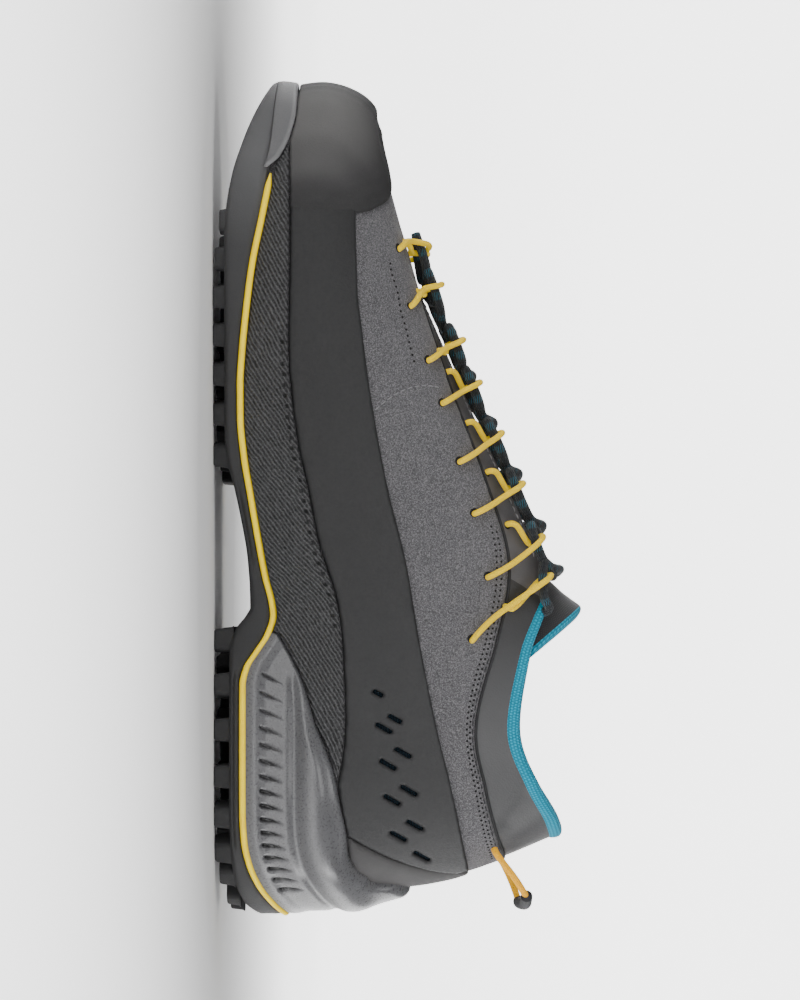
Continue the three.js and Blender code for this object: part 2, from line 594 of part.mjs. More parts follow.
function insole() {
  return filledForm(-WALL - 2 * CLEARANCE)
    .intersect(above(lifted(onSole(FOOTBED), CLEARANCE)))
    .intersect(below(lifted(onSole(FOOTBED), CLEARANCE + INSOLE_THICKNESS)));
}

// Tongue: its middle line from the throat's front to its tip. along is a share of SOLE_LENGTH and up of
// INSTEP_HEIGHT. centre, half its width and how far its edges drop are shares of BALL_WIDTH.
const TONGUE_ACROSS = 8;
const TONGUE_THICKNESS = 4;
const TONGUE_LINE = table('along up centre half drop', [0.800, 0.520, 0.090, 0.09, 0.010],
  [0.755, 0.575, 0.062, 0.13, 0.020], [0.715, 0.620, 0.045, 0.165, 0.035],
  [0.660, 0.683, 0.022, 0.20, 0.052], [0.600, 0.757, 0.012, 0.225, 0.068],
  [0.540, 0.826, 0.012, 0.235, 0.075], [0.480, 0.893, 0.016, 0.25, 0.075],
  [0.425, 0.965, 0.022, 0.27, 0.075], [0.390, 1.040, 0.026, 0.275, 0.085],
  [0.367, 1.118, 0.028, 0.245, 0.090]);

const tongueRow = (i) => {
  const row = TONGUE_LINE[THREE.MathUtils.clamp(i, 0, TONGUE_LINE.length - 1)];
  return new THREE.Vector3(row.along * SOLE_LENGTH, row.centre * BALL_WIDTH, row.up * INSTEP_HEIGHT);
};

// A point of the tongue's top face: s counts rows from its front, and side runs from -1 to 1 across it
function tonguePoint(s, side, depth) {
  const i = Math.min(Math.floor(s), TONGUE_LINE.length - 2);
  const [a, b] = [TONGUE_LINE[i], TONGUE_LINE[i + 1]];
  const blend = (name) => THREE.MathUtils.lerp(a[name], b[name], s - i);
  const middle = catmullPoint(tongueRow(i - 1), tongueRow(i), tongueRow(i + 1), tongueRow(i + 2), s - i);
  const slope = tongueRow(i + 1).sub(tongueRow(i));
  const up = new THREE.Vector3(-slope.z, 0, slope.x).normalize();
  if (up.z < 0) up.negate();
  const fall = blend('drop') * BALL_WIDTH * side * side;
  const out = new THREE.Vector3(0, side * blend('half') * BALL_WIDTH, 0);
  return middle.addScaledVector(up, -fall - depth).add(out);
}

function tongue() {
  const rows = TONGUE_LINE.length - 1;
  const sections = Array.from({ length: rows + 1 }, (_, s) => {
    const top = Array.from({ length: TONGUE_ACROSS + 1 }, (__, k) => (
      tonguePoint(s, (2 * k) / TONGUE_ACROSS - 1, 0)));
    const under = Array.from({ length: TONGUE_ACROSS - 1 }, (__, k) => (
      tonguePoint(s, 1 - (2 * (k + 1)) / TONGUE_ACROSS, TONGUE_THICKNESS)));
    return [...top, ...under];
  });
  return filledSolid(sections).subtract(upperShell(CLEARANCE));
}

// Lace rows from the toe to the top: where the lace turns, round the loop and up, then the outer hole of
// its cord loop, and how high the inner hole lies
const LACE_ROWS = table('u lace outer hole inner', [11, 3.67, 10.05, 2.95, 3.42],
  [10, 3.68, 9.15, 2.9, 3.4], [8.95, 3.77, 8.4, 2.96, 3.46], [8.3, 3.78, 7.83, 2.96, 3.45],
  [7.6, 3.78, 7.07, 2.87, 3.45], [6.98, 3.76, 6.45, 2.86, 3.42], [6.36, 3.76, 5.72, 2.98, 3.42],
  [5.95, 3.82, 4.95, 2.92, 3.45]);
const BACK_STEP = 0.32;
const LACE_LIFT = LOOP_CORD_DIAMETER + LACE_DIAMETER / 2 + 4 * CLEARANCE;
const LACE_TURN = 12;
const LACE_ARCH = 2.6;
const RIM_SHARE = 0.36;
const RIM_RISE = 1.3;
const onLoop = (u, sign) => (sign > 0 ? u : STATION_COUNT - u);

const laceNode = (row, sign) => offsetPoint(onLoop(row.u, sign), row.lace, LACE_LIFT);

// The two bends where a lace turns in a loop, the one nearer the toe first
function laceTurn(row, sign) {
  const node = laceNode(row, sign);
  const ahead = formPoint(onLoop(row.u + 0.05, sign), row.lace);
  const along = ahead.sub(formPoint(onLoop(row.u - 0.05, sign), row.lace)).setLength(LACE_TURN / 2);
  return [node.clone().add(along), node.clone().sub(along)];
}

// Where a lace passes over the throat's edge, on its way to another row
function laceRim(row, next, sign) {
  const point = formPoint(onLoop(THREE.MathUtils.lerp(row.u, next.u, RIM_SHARE), sign), TOP_ROW);
  return point.setZ(point.z + LACE_DIAMETER / 2 + RIM_RISE);
}

function laceMiddle(row, next, sign, lift) {
  const [a, b] = [laceRim(row, next, sign), laceRim(next, row, -sign)];
  return a.lerp(b, 0.5).add(new THREE.Vector3(0, 0, LACE_ARCH + lift));
}

// A lace crosses from one side to the other between each row and the next, over the tongue
function lacePath(firstSign) {
  const points = [];
  LACE_ROWS.forEach((row, i) => {
    const sign = i % 2 === 0 ? firstSign : -firstSign;
    points.push(...laceTurn(row, sign));
    if (i === LACE_ROWS.length - 1) return;
    const next = LACE_ROWS[i + 1];
    const overlying = sign > 0 ? LACE_DIAMETER * 0.4 : 0;
    points.push(laceRim(row, next, sign), laceMiddle(row, next, sign, overlying), laceRim(next, row, -sign));
  });
  return points;
}

function lace() {
  const [front, second] = LACE_ROWS;
  const beyond = { u: 2 * front.u - second.u };
  const bar = [1, -1].map((sign) => [laceTurn(front, sign)[0], laceRim(front, beyond, sign)]);
  const middle = bar[0][1].clone().lerp(bar[1][1], 0.5).add(new THREE.Vector3(0, 0, LACE_ARCH / 2));
  return joined([
    cordSolid(lacePath(1), LACE_DIAMETER, 5, 46),
    cordSolid(lacePath(-1), LACE_DIAMETER, 5, 46),
    cordSolid([bar[0][0], bar[0][1], middle, bar[1][1], bar[1][0]], LACE_DIAMETER, 5, 6),
  ]);
}

// An eyelet loop: up from its outer hole, over the lace, round it, under it and back to its inner hole
function laceLoop(row, sign) {
  const u = onLoop(row.u, sign);
  const rest = LOOP_CORD_DIAMETER / 2 + CLEARANCE;
  const rising = (share, lift) => offsetPoint(
    onLoop(THREE.MathUtils.lerp(row.outer, row.u, share), sign),
    THREE.MathUtils.lerp(row.hole, row.inner, share), rest + lift);
  const back = onLoop(row.u + BACK_STEP, sign);
  const node = laceNode(row, sign);
  const normal = formNormal(u, row.lace);
  const inward = formPoint(u, TOP_ROW).sub(formPoint(u, row.inner)).normalize();
  const round = LACE_DIAMETER / 2 + LOOP_CORD_DIAMETER / 2 + 3 * CLEARANCE;
  const beside = (out, up) => node.clone()
    .addScaledVector(inward, out * round).addScaledVector(normal, up * round);
  return cordSolid([
    rising(0, 0),
    rising(0.35, 0.5),
    rising(0.7, 0.9),
    beside(-0.9, 0.75),
    beside(0, 1),
    beside(1, 0),
    beside(0.1, -1),
    offsetPoint(back, row.inner + 0.08, rest + 0.4),
    offsetPoint(back, row.inner - 0.1, rest),
  ], LOOP_CORD_DIAMETER, 5, 13);
}

// Heel pull loop: a cord from two anchors above the counter, with a sleeve across its end
const PULL_ANCHOR = 1.45;
const PULL_HEIGHT = 2.92;
const PULL_END = new THREE.Vector3(0.012 * SOLE_LENGTH, 0.02 * BALL_WIDTH, 0.915 * COLLAR_HEIGHT);
const SLEEVE_HALF = 13;
// How far the sleeve's big-toe end stands ahead of and above its middle
const SLEEVE_TWIST = 2;

function pullPoints(sign) {
  const anchor = offsetPoint(onLoop(PULL_ANCHOR, sign), PULL_HEIGHT, PULL_CORD_DIAMETER / 2 + CLEARANCE);
  const corner = PULL_END.clone().add(new THREE.Vector3(
    1.5 + sign * SLEEVE_TWIST, sign * SLEEVE_HALF, -0.8 + sign * SLEEVE_TWIST / 2));
  const middle = anchor.clone().lerp(corner, 0.55).add(new THREE.Vector3(-0.5, sign * 1.8, 0.8));
  return [anchor, middle, corner];
}

function pullCord(sign) {
  const [anchor, middle, corner] = pullPoints(sign);
  const stop = corner.clone().add(new THREE.Vector3(0, sign * (PULL_CORD_DIAMETER / 2 + 2 * CLEARANCE), 0));
  return cordSolid([anchor, middle, stop], PULL_CORD_DIAMETER, 6, 7);
}

function pullSleeve() {
  const [left, right] = [-1, 1].map((sign) => pullPoints(sign)[2]);
  return cordSolid([left, PULL_END, right], SLEEVE_DIAMETER, 8, 4);
}

const finish = (color, roughness) => new THREE.MeshStandardMaterial({ color, roughness, metalness: 0 });
const FINISHES = {
  suede: finish(0x5e5e61, 0.95),
  rubber: finish(0x2f3032, 0.8),
  foam: finish(0x77787b, 0.7),
  panel: finish(0x39393b, 0.75),
  yellow: finish(0xf3c744, 0.6),
  fabric: finish(0x4b4b4e, 0.9),
};

const shoe = new THREE.Group();

function place(name, solid, material) {
  const mesh = new THREE.Mesh(geometryOf(solid), FINISHES[material]);
  mesh.name = name;
  shoe.add(mesh);
}

place('outsole', outsole(), 'rubber');
place('sole_bead', bead(), 'yellow');
place('midsole', midsole(), 'foam');
place('insole', insole(), 'fabric');
place('upper', upper(), 'suede');
place('rand_medial', rand(1), 'rubber');
place('rand_lateral', rand(-1), 'rubber');
place('side_panel_medial', sidePanel(1), 'panel');
place('side_panel_lateral', sidePanel(-1), 'panel');
place('heel_counter', heelCounter(), 'rubber');
place('toe_cap', toeCap(), 'rubber');
place('tongue', tongue(), 'fabric');
place('lace', lace(), 'panel');
LACE_ROWS.forEach((row, i) => {
  place(`loop_medial_${i + 1}`, laceLoop(row, 1), 'yellow');
  place(`loop_lateral_${i + 1}`, laceLoop(row, -1), 'yellow');
});
place('pull_cord_medial', pullCord(1), 'yellow');
place('pull_cord_lateral', pullCord(-1), 'yellow');
place('pull_sleeve', pullSleeve(), 'panel');

// The origin is the middle of the footprint, on the ground
const extent = new THREE.Box3().setFromObject(shoe);
shoe.position.set(-(extent.min.x + extent.max.x) / 2, -(extent.min.y + extent.max.y) / 2, 0);

export default shoe;
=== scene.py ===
# A low-cut approach shoe for the right foot: its looks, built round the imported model.
# Shapes are worked out in millimetres in the last's own frame, with the heel at X = 0, the toe towards +X,
# the big-toe side towards +Y and the ground at Z = 0. build() turns them into metres in the model's frame.
import math

import bpy
import numpy as np
from mathutils import Matrix, Vector


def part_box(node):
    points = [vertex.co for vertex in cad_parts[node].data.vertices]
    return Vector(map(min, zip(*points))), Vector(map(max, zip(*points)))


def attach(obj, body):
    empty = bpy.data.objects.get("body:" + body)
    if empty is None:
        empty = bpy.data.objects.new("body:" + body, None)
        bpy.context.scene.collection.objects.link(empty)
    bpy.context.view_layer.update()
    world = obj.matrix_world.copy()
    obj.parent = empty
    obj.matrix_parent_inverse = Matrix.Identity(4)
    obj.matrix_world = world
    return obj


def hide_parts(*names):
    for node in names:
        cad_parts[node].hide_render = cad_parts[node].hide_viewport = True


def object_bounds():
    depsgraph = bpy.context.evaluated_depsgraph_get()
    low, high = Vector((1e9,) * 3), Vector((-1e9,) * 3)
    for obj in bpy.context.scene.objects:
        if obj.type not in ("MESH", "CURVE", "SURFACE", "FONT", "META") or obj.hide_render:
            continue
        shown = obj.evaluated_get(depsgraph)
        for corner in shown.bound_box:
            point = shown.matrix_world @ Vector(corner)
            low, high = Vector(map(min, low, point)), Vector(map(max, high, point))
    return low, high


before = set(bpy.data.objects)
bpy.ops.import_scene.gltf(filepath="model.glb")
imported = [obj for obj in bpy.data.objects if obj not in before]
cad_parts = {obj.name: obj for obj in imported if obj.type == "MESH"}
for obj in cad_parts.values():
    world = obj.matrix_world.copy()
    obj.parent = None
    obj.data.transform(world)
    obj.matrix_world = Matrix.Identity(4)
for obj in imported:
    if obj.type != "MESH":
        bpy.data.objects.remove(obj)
CAD_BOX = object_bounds()

# Driving sizes, the same as the model's
SOLE_LENGTH = 295.0
BALL_WIDTH = 108.0
COLLAR_HEIGHT = 119.5
INSTEP_HEIGHT = 116.0
STACK_HEIGHT = 27.0
CLEARANCE = 0.35
WALL = 2.2
EYESTAY_STEP = 0.9
PANEL_THICKNESS = 1.6
RAND_THICKNESS = 2.6
TOE_CAP_THICKNESS = 2.2
COUNTER_THICKNESS = 2.2
BEAD_THICKNESS = 2.4
BEAD_PROUD = 0.7
BEAD_WIDTH = 5.5
INSOLE_THICKNESS = 4.0
LACE_DIAMETER = 3.6
LOOP_CORD_DIAMETER = 2.1
PULL_CORD_DIAMETER = 2.4
SLEEVE_DIAMETER = 4.2


def table(columns, *rows):
    """Rows with named columns."""
    names = columns.split()
    return [dict(zip(names, row)) for row in rows]


# Sections round the last, from the heel to the toe, as shares of the driving sizes. A column that ends in L
# is for the lateral side.
SECTIONS = table(
    "along medial lateral base edgeAlong edgeMedial edgeLateral edgeUp "
    "foot belly bellyUp shoulder shoulderUp dome domeUp bellyL shoulderL shoulderUpL domeL domeUpL suede pad",
    [0.000, 0.014, -0.014, 0.30, 0.092, 0.020, -0.020, 1.000, 0.38, 0.41, 0.33, 0.49, 0.645, 0.70, 0.825,
     0.41, 0.49, 0.645, 0.70, 0.825, 3.05, 8.0],
    [0.018, 0.170, 0.143, 0.30, 0.097, 0.121, 0.080, 0.999, 0.38, 0.41, 0.33, 0.50, 0.645, 0.70, 0.825,
     0.41, 0.50, 0.645, 0.70, 0.825, 3.05, 8.0],
    [0.061, 0.312, 0.281, 0.30, 0.119, 0.218, 0.172, 0.979, 0.48, 0.47, 0.34, 0.53, 0.650, 0.73, 0.835,
     0.47, 0.53, 0.650, 0.73, 0.835, 2.95, 7.5],
    [0.147, 0.402, 0.361, 0.30, 0.159, 0.298, 0.238, 0.925, 0.66, 0.64, 0.36, 0.67, 0.680, 0.82, 0.860,
     0.64, 0.67, 0.680, 0.82, 0.860, 2.88, 7.0],
    [0.254, 0.398, 0.392, 0.33, 0.224, 0.322, 0.266, 0.870, 0.78, 0.70, 0.38, 0.74, 0.695, 0.86, 0.870,
     0.72, 0.77, 0.695, 0.88, 0.870, 2.95, 6.5],
    [0.356, 0.356, 0.421, 0.44, 0.315, 0.306, 0.264, 0.908, 0.25, 0.10, 0.31, 0.12, 0.600, 0.42, 0.830,
     0.22, 0.34, 0.600, 0.62, 0.830, 3.35, 4.5],
    [0.458, 0.375, 0.440, 0.41, 0.400, 0.245, 0.194, 1.000, 0.15, 0.02, 0.28, 0.06, 0.540, 0.40, 0.820,
     0.12, 0.24, 0.500, 0.54, 0.780, 3.25, 3.0],
    [0.559, 0.426, 0.477, 0.33, 0.502, 0.181, 0.144, 0.905, 0.12, 0.07, 0.27, 0.12, 0.560, 0.42, 0.840,
     0.09, 0.25, 0.510, 0.55, 0.790, 3.25, 2.2],
    [0.654, 0.472, 0.500, 0.30, 0.597, 0.144, 0.125, 0.793, 0.11, 0.075, 0.285, 0.14, 0.570, 0.45, 0.845,
     0.075, 0.26, 0.500, 0.55, 0.800, 3.35, 2.2],
    [0.746, 0.496, 0.486, 0.37, 0.675, 0.144, 0.093, 0.707, 0.10, 0.070, 0.305, 0.15, 0.600, 0.45, 0.850,
     0.070, 0.25, 0.510, 0.53, 0.790, 3.40, 2.2],
    [0.837, 0.479, 0.403, 0.52, 0.725, 0.148, 0.051, 0.651, 0.09, 0.065, 0.340, 0.16, 0.620, 0.42, 0.830,
     0.065, 0.22, 0.540, 0.50, 0.780, 3.45, 2.2],
    [0.915, 0.424, 0.269, 0.70, 0.759, 0.139, 0.014, 0.612, 0.08, 0.055, 0.365, 0.15, 0.655, 0.38, 0.815,
     0.055, 0.20, 0.580, 0.45, 0.790, 3.60, 2.2],
    [0.973, 0.319, 0.102, 0.78, 0.773, 0.106, -0.023, 0.597, 0.07, 0.042, 0.380, 0.14, 0.660, 0.34, 0.765,
     0.042, 0.16, 0.620, 0.36, 0.745, 3.80, 2.2],
    [1.000, 0.111, -0.111, 0.81, 0.778, 0.065, -0.065, 0.595, 0.07, 0.038, 0.380, 0.13, 0.670, 0.30, 0.735,
     0.038, 0.13, 0.670, 0.30, 0.735, 3.85, 2.2],
)
COLLAR_ROWS = 6

# Heights along the sole, as shares of SOLE_LENGTH and STACK_HEIGHT
PLATE_BOTTOM = [[0, 0.52], [0.017, 0.35], [0.041, 0.26], [0.085, 0.21], [0.136, 0.2], [0.322, 0.2],
                [0.345, 0.27], [0.373, 0.47], [0.43, 0.433], [0.475, 0.352], [0.515, 0.26], [0.545, 0.178],
                [0.576, 0.148], [0.797, 0.148], [0.837, 0.167], [0.881, 0.24], [0.922, 0.37], [0.966, 0.555],
                [1, 0.74]]
BEAD_HEIGHT = [[0, 0.9], [0.018, 0.726], [0.04, 0.57], [0.067, 0.452], [0.094, 0.393], [0.13, 0.374],
               [0.281, 0.374], [0.302, 0.426], [0.32, 0.55], [0.342, 0.7], [0.363, 0.767], [0.378, 0.748],
               [0.407, 0.667], [0.454, 0.57], [0.508, 0.47], [0.552, 0.393], [0.597, 0.352], [0.634, 0.352],
               [0.668, 0.374], [0.722, 0.433], [0.776, 0.511], [0.83, 0.63], [0.875, 0.726], [0.922, 0.815],
               [1, 0.926]]
FOOTBED = [[0, 1], [0.2, 1], [0.34, 0.963], [0.45, 0.815], [0.56, 0.667], [0.68, 0.593], [0.78, 0.667],
           [0.86, 0.81], [0.93, 0.926], [1, 1.04]]
TREAD = [[0, 0.26], [0.034, 0.13], [0.061, 0.055], [0.095, 0], [0.752, 0], [0.797, 0.045], [0.83, 0.09],
         [1, 0.6]]

# Lines on the side of the shoe, as shares of SOLE_LENGTH and INSTEP_HEIGHT
CUP_LINE = [[0.02, 0.60], [0.033, 0.553], [0.039, 0.49], [0.05, 0.434], [0.072, 0.405], [0.1, 0.398],
            [0.14, 0.378], [0.175, 0.362], [0.205, 0.336], [0.238, 0.302], [0.28, 0.272], [0.315, 0.234],
            [0.342, 0.195]]
RAND_LINE = [[0.16, 0.366], [0.19, 0.382], [0.237, 0.392], [0.325, 0.384], [0.373, 0.37], [0.454, 0.31],
             [0.508, 0.284], [0.58, 0.246], [0.68, 0.224], [0.797, 0.228], [0.95, 0.228]]
PANEL_LINE = [[0.03, 0.77], [0.055, 0.767], [0.081, 0.754], [0.153, 0.716], [0.224, 0.672], [0.325, 0.62],
              [0.424, 0.577], [0.512, 0.522], [0.563, 0.496], [0.644, 0.461], [0.695, 0.444], [0.746, 0.429],
              [0.86, 0.422], [0.96, 0.43]]
COUNTER_SEAM = [[0.108, 0.37], [0.083, 0.486], [0.068, 0.578], [0.058, 0.668], [0.052, 0.79]]
TOE_WRAP_LINE = [[0.886, 0.165], [0.898, 0.2], [0.93, 0.236], [0.955, 0.25], [1.02, 0.258]]
# The toe cap's back edge seen from above, as shares of SOLE_LENGTH and BALL_WIDTH
TOE_CAP_LINE = [[0.836, 0.62], [0.836, 0.43], [0.846, 0.385], [0.866, 0.315], [0.888, 0.254], [0.912, 0.2],
                [0.925, 0.157], [0.927, 0.087], [0.92, 0], [0.904, -0.07], [0.881, -0.141], [0.85, -0.211],
                [0.815, -0.273], [0.802, -0.32], [0.8, -0.62]]

# The last's surface: u goes round the shoe and v climbs from 0 at the sole to 4 at the throat or collar edge
LAST_ROW = len(SECTIONS) - 1
STATION_COUNT = 2 * LAST_ROW
TOP = 4.0


def station(n):
    """The outline, the wall's five points, the suede's end and the rim's thickness at one station."""
    medial = n <= LAST_ROW
    index = n if medial else STATION_COUNT - n
    row = SECTIONS[index]
    side = 1 if medial else -1
    tail = "" if medial else "L"
    width = row["medial"] if medial else row["lateral"]
    edge_width = row["edgeMedial"] if medial else row["edgeLateral"]
    outline = np.array([row["along"] * SOLE_LENGTH, side * width * BALL_WIDTH, 0.0])
    height = row["edgeUp"] * (COLLAR_HEIGHT if index < COLLAR_ROWS else INSTEP_HEIGHT)
    edge = np.array([row["edgeAlong"] * SOLE_LENGTH, side * edge_width * BALL_WIDTH, height])
    base = row["base"] * STACK_HEIGHT

    def at(inward, up):
        point = outline + (edge - outline) * inward
        point[2] = base + (edge[2] - base) * up
        return point

    profile = [at(row["foot"], 0), at(row["belly" + tail], row["bellyUp"]),
               at(row["shoulder" + tail], row["shoulderUp" + tail]),
               at(row["dome" + tail], row["domeUp" + tail]), edge]
    return outline, profile, row["suede"], row["pad"]


STATIONS = [station(n) for n in range(STATION_COUNT)]
OUTLINES = np.array([s[0] for s in STATIONS])
PROFILES = np.array([s[1] for s in STATIONS])
SUEDE_ENDS = np.array([s[2] for s in STATIONS])
PADS = np.array([s[3] for s in STATIONS])


def catmull_weights(t):
    t2, t3 = t * t, t * t * t
    return (0.5 * (2 * t2 - t - t3), 0.5 * (2 - 5 * t2 + 3 * t3),
            0.5 * (t + 4 * t2 - 3 * t3), 0.5 * (t3 - t2))


def round_the_loop(u, values):
    """Any value of the stations at places u round the loop."""
    u = np.asarray(u, float)
    first = np.floor(u).astype(int)
    weights = catmull_weights(u - first)
    spread = (...,) + (None,) * (values.ndim - 1)
    return sum(weights[k][spread] * values[(first + k - 1) % STATION_COUNT] for k in range(4))


def form(u, v):
    """Points of the last's surface."""
    u, v = np.broadcast_arrays(np.asarray(u, float), np.asarray(v, float))
    rows = round_the_loop(u, PROFILES)
    before = 2 * rows[..., :1, :] - rows[..., 1:2, :]
    after = 2 * rows[..., -1:, :] - rows[..., -2:-1, :]
    rows = np.concatenate([before, rows, after], axis=-2)
    first = np.clip(np.floor(v).astype(int), 0, 3)
    weights = catmull_weights(v - first)

    def pick(k):
        index = (first + k)[..., None, None].repeat(3, -1)
        return np.take_along_axis(rows, index, axis=-2)[..., 0, :]

    return sum(weights[k][..., None] * pick(k) for k in range(4))


def unit(vectors):
    return vectors / np.maximum(np.linalg.norm(vectors, axis=-1, keepdims=True), 1e-9)


def form_normal(u, v):
    step = 0.02
    along = form(u + step, v) - form(u - step, v)
    up = form(u, np.minimum(v + step, TOP)) - form(u, np.maximum(v - step, 0))
    return unit(np.cross(up, along))


def outline(u):
    return round_the_loop(u, OUTLINES)


def sole_points(u, inset, height):
    """Points at a distance inside the sole's outline, at the given heights."""
    u, inset, height = np.broadcast_arrays(u, inset, height)
    step = 0.02
    along = unit(outline(u + step) - outline(u - step))
    outward = np.stack([-along[..., 1], along[..., 0], np.zeros_like(u, float)], axis=-1)
    points = outline(u) - outward * inset[..., None]
    points[..., 2] = height
    return points


def smooth_step(x, low, high):
    t = np.clip((x - low) / (high - low), 0, 1)
    return t * t * (3 - 2 * t)


def bell(x, middle, width):
    return np.exp(-((x - middle) / width) ** 2)


def smooth_line(points, across, up):
    """A table's line as a function: the height, or any second value, at a first value.

    It is smooth, and it never swings past its points.
    """
    xs, ys = np.array(sorted((a * across, b * up) for a, b in points)).T
    rises = np.diff(ys) / np.maximum(np.diff(xs), 1e-6)
    before, after = rises[:-1], rises[1:]
    turning = before * after <= 0
    even = 2 * before * after / np.where(turning, 1, before + after)
    slopes = np.concatenate([rises[:1], np.where(turning, 0, even), rises[-1:]])
    fine = np.linspace(xs[0], xs[-1], 900)
    i = np.clip(np.searchsorted(xs, fine) - 1, 0, len(xs) - 2)
    span = xs[i + 1] - xs[i]
    t = (fine - xs[i]) / span
    values = (ys[i] * (1 + 2 * t) * (1 - t) ** 2 + span * slopes[i] * t * (1 - t) ** 2
              + ys[i + 1] * t * t * (3 - 2 * t) + span * slopes[i + 1] * t * t * (t - 1))
    return lambda x: np.interp(x, fine, values)


plate_bottom = smooth_line(PLATE_BOTTOM, SOLE_LENGTH, STACK_HEIGHT)
bead_height = smooth_line(BEAD_HEIGHT, SOLE_LENGTH, STACK_HEIGHT)
footbed = smooth_line(FOOTBED, SOLE_LENGTH, STACK_HEIGHT)
tread = smooth_line(TREAD, SOLE_LENGTH, STACK_HEIGHT)
cup_line = smooth_line(CUP_LINE, SOLE_LENGTH, INSTEP_HEIGHT)
rand_line = smooth_line(RAND_LINE, SOLE_LENGTH, INSTEP_HEIGHT)
panel_line = smooth_line(PANEL_LINE, SOLE_LENGTH, INSTEP_HEIGHT)
wrap_line = smooth_line(TOE_WRAP_LINE, SOLE_LENGTH, INSTEP_HEIGHT)
seam_line = smooth_line([(up, along) for along, up in COUNTER_SEAM], INSTEP_HEIGHT, SOLE_LENGTH)
cap_line = smooth_line([(across, along) for along, across in TOE_CAP_LINE], BALL_WIDTH, SOLE_LENGTH)
CUP_FRONT = CUP_LINE[-1][0] * SOLE_LENGTH
WRAP_START = TOE_WRAP_LINE[0][0] * SOLE_LENGTH


def above(line, points):
    """Signed distance above a line of the side view."""
    x, z = points[..., 0], points[..., 2]
    slope = (line(x + 0.5) - line(x - 0.5))
    return (z - line(x)) / np.sqrt(1 + slope ** 2)


def seat_height(x):
    """What the overlays stand on: the midsole's cup behind the arch and the bead in front of it."""
    bead = bead_height(x) + BEAD_THICKNESS / 2
    return np.where(x < CUP_FRONT, np.maximum(cup_line(x), bead), bead)


# Soft creases of the suede and the overlays, as places round the loop and up the wall, with depth and width
CREASES = table("u0 v0 u1 v1 depth width",
                [9.35, 2.25, 9.75, 3.05, 0.55, 3.2],
                [8.85, 2.15, 9.0, 2.85, 0.4, 3.0],
                [10.3, 2.7, 10.9, 3.3, 0.4, 3.0],
                [16.6, 2.2, 16.2, 3.05, 0.55, 3.2],
                [17.2, 2.1, 16.9, 2.9, 0.4, 3.0],
                [15.6, 2.6, 14.9, 3.3, 0.45, 3.0],
                [5.3, 2.05, 4.6, 2.75, 0.5, 4.0],
                [20.7, 2.05, 21.4, 2.75, 0.5, 4.0],
                [2.2, 3.25, 2.7, 3.85, 0.6, 3.5],
                [23.8, 3.25, 23.3, 3.85, 0.6, 3.5])


def crease_lines():
    share = np.linspace(0, 1, 9)
    for row in CREASES:
        u = row["u0"] + (row["u1"] - row["u0"]) * share
        v = row["v0"] + (row["v1"] - row["v0"]) * share
        yield form(u, v), row["depth"], row["width"]


CREASE_LINES = list(crease_lines())


def relief(points):
    """Depth of the soft creases at points of the last's surface: a trough with a low ridge on both sides."""
    total = np.zeros(points.shape[:-1])
    for line, depth, width in CREASE_LINES:
        near = np.full(points.shape[:-1], 1e9)
        for a, b in zip(line[:-1], line[1:]):
            span = b - a
            t = np.clip(((points - a) @ span) / (span @ span), 0, 1)
            near = np.minimum(near, np.linalg.norm(points - a - t[..., None] * span, axis=-1))
        total += depth * (0.45 * bell(near, 2.2 * width, width) - bell(near, 0, width))
    return total


def surface(u, v, distance):
    """Points at a distance outside the last's surface, creases included."""
    base = form(u, v)
    return base + form_normal(u, v) * (distance + relief(base))[..., None]


def run_lengths(line):
    """The length along a line at each of its points."""
    return np.concatenate([[0], np.cumsum(np.linalg.norm(np.diff(line, axis=0), axis=-1))])


# Length round the shoe at each place of the loop, at the height where the overlays lie
OVERLAY_V = 1.5
LOOP_PLACES = np.linspace(-STATION_COUNT, 2 * STATION_COUNT, 3001)
LOOP_LENGTHS = run_lengths(form(LOOP_PLACES, OVERLAY_V))
LOOP_LENGTHS -= np.interp(0, LOOP_PLACES, LOOP_LENGTHS)


def length_at(u):
    return np.interp(u, LOOP_PLACES, LOOP_LENGTHS)


def places(u0, u1, spacing):
    """Places round the loop about evenly spaced in millimetres."""
    s0, s1 = length_at(u0), length_at(u1)
    count = max(2, int(round((s1 - s0) / spacing)) + 1)
    return np.interp(np.linspace(s0, s1, count), LOOP_LENGTHS, LOOP_PLACES)


# The last's frame in the model's frame: the bead's own corner is known in both
_bead_loop = sole_points(np.linspace(0, STATION_COUNT, 521), -BEAD_PROUD, 0.0)
_bead_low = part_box("sole_bead")[0]
FRAME_SHIFT = np.array([_bead_low.x * 1000 - _bead_loop[:, 0].min(),
                        _bead_low.y * 1000 - _bead_loop[:, 1].min(), 0])


# Mesh helpers
def build(name, points, faces, material, nodes=(), uv=None, grooves=None):
    """A named piece of the shoe, from points in millimetres, that stands for the named nodes.

    grooves says how deep each point lies in a groove, from 0 to 1, for the material to read.
    """
    mesh = bpy.data.meshes.new(name)
    where = (np.asarray(points, float).reshape(-1, 3) + FRAME_SHIFT) / 1000
    mesh.from_pydata(where.tolist(), [], [list(face) for face in faces])
    materials = material if isinstance(material, list) else [material]
    for item in materials:
        mesh.materials.append(item)
    if uv is not None:
        layer = mesh.uv_layers.new(name="Lengths")
        corners = np.empty(len(mesh.loops), int)
        mesh.loops.foreach_get("vertex_index", corners)
        layer.data.foreach_set("uv", np.asarray(uv, float).reshape(-1, 2)[corners].ravel())
    if grooves is not None:
        mesh.attributes.new("Groove", "FLOAT", "POINT").data.foreach_set("value", np.ravel(grooves))
    mesh.shade_smooth()
    mesh.validate()
    piece = bpy.data.objects.new(name, mesh)
    bpy.context.scene.collection.objects.link(piece)
    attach(piece, "root")
    if nodes:
        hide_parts(*nodes)
    return piece


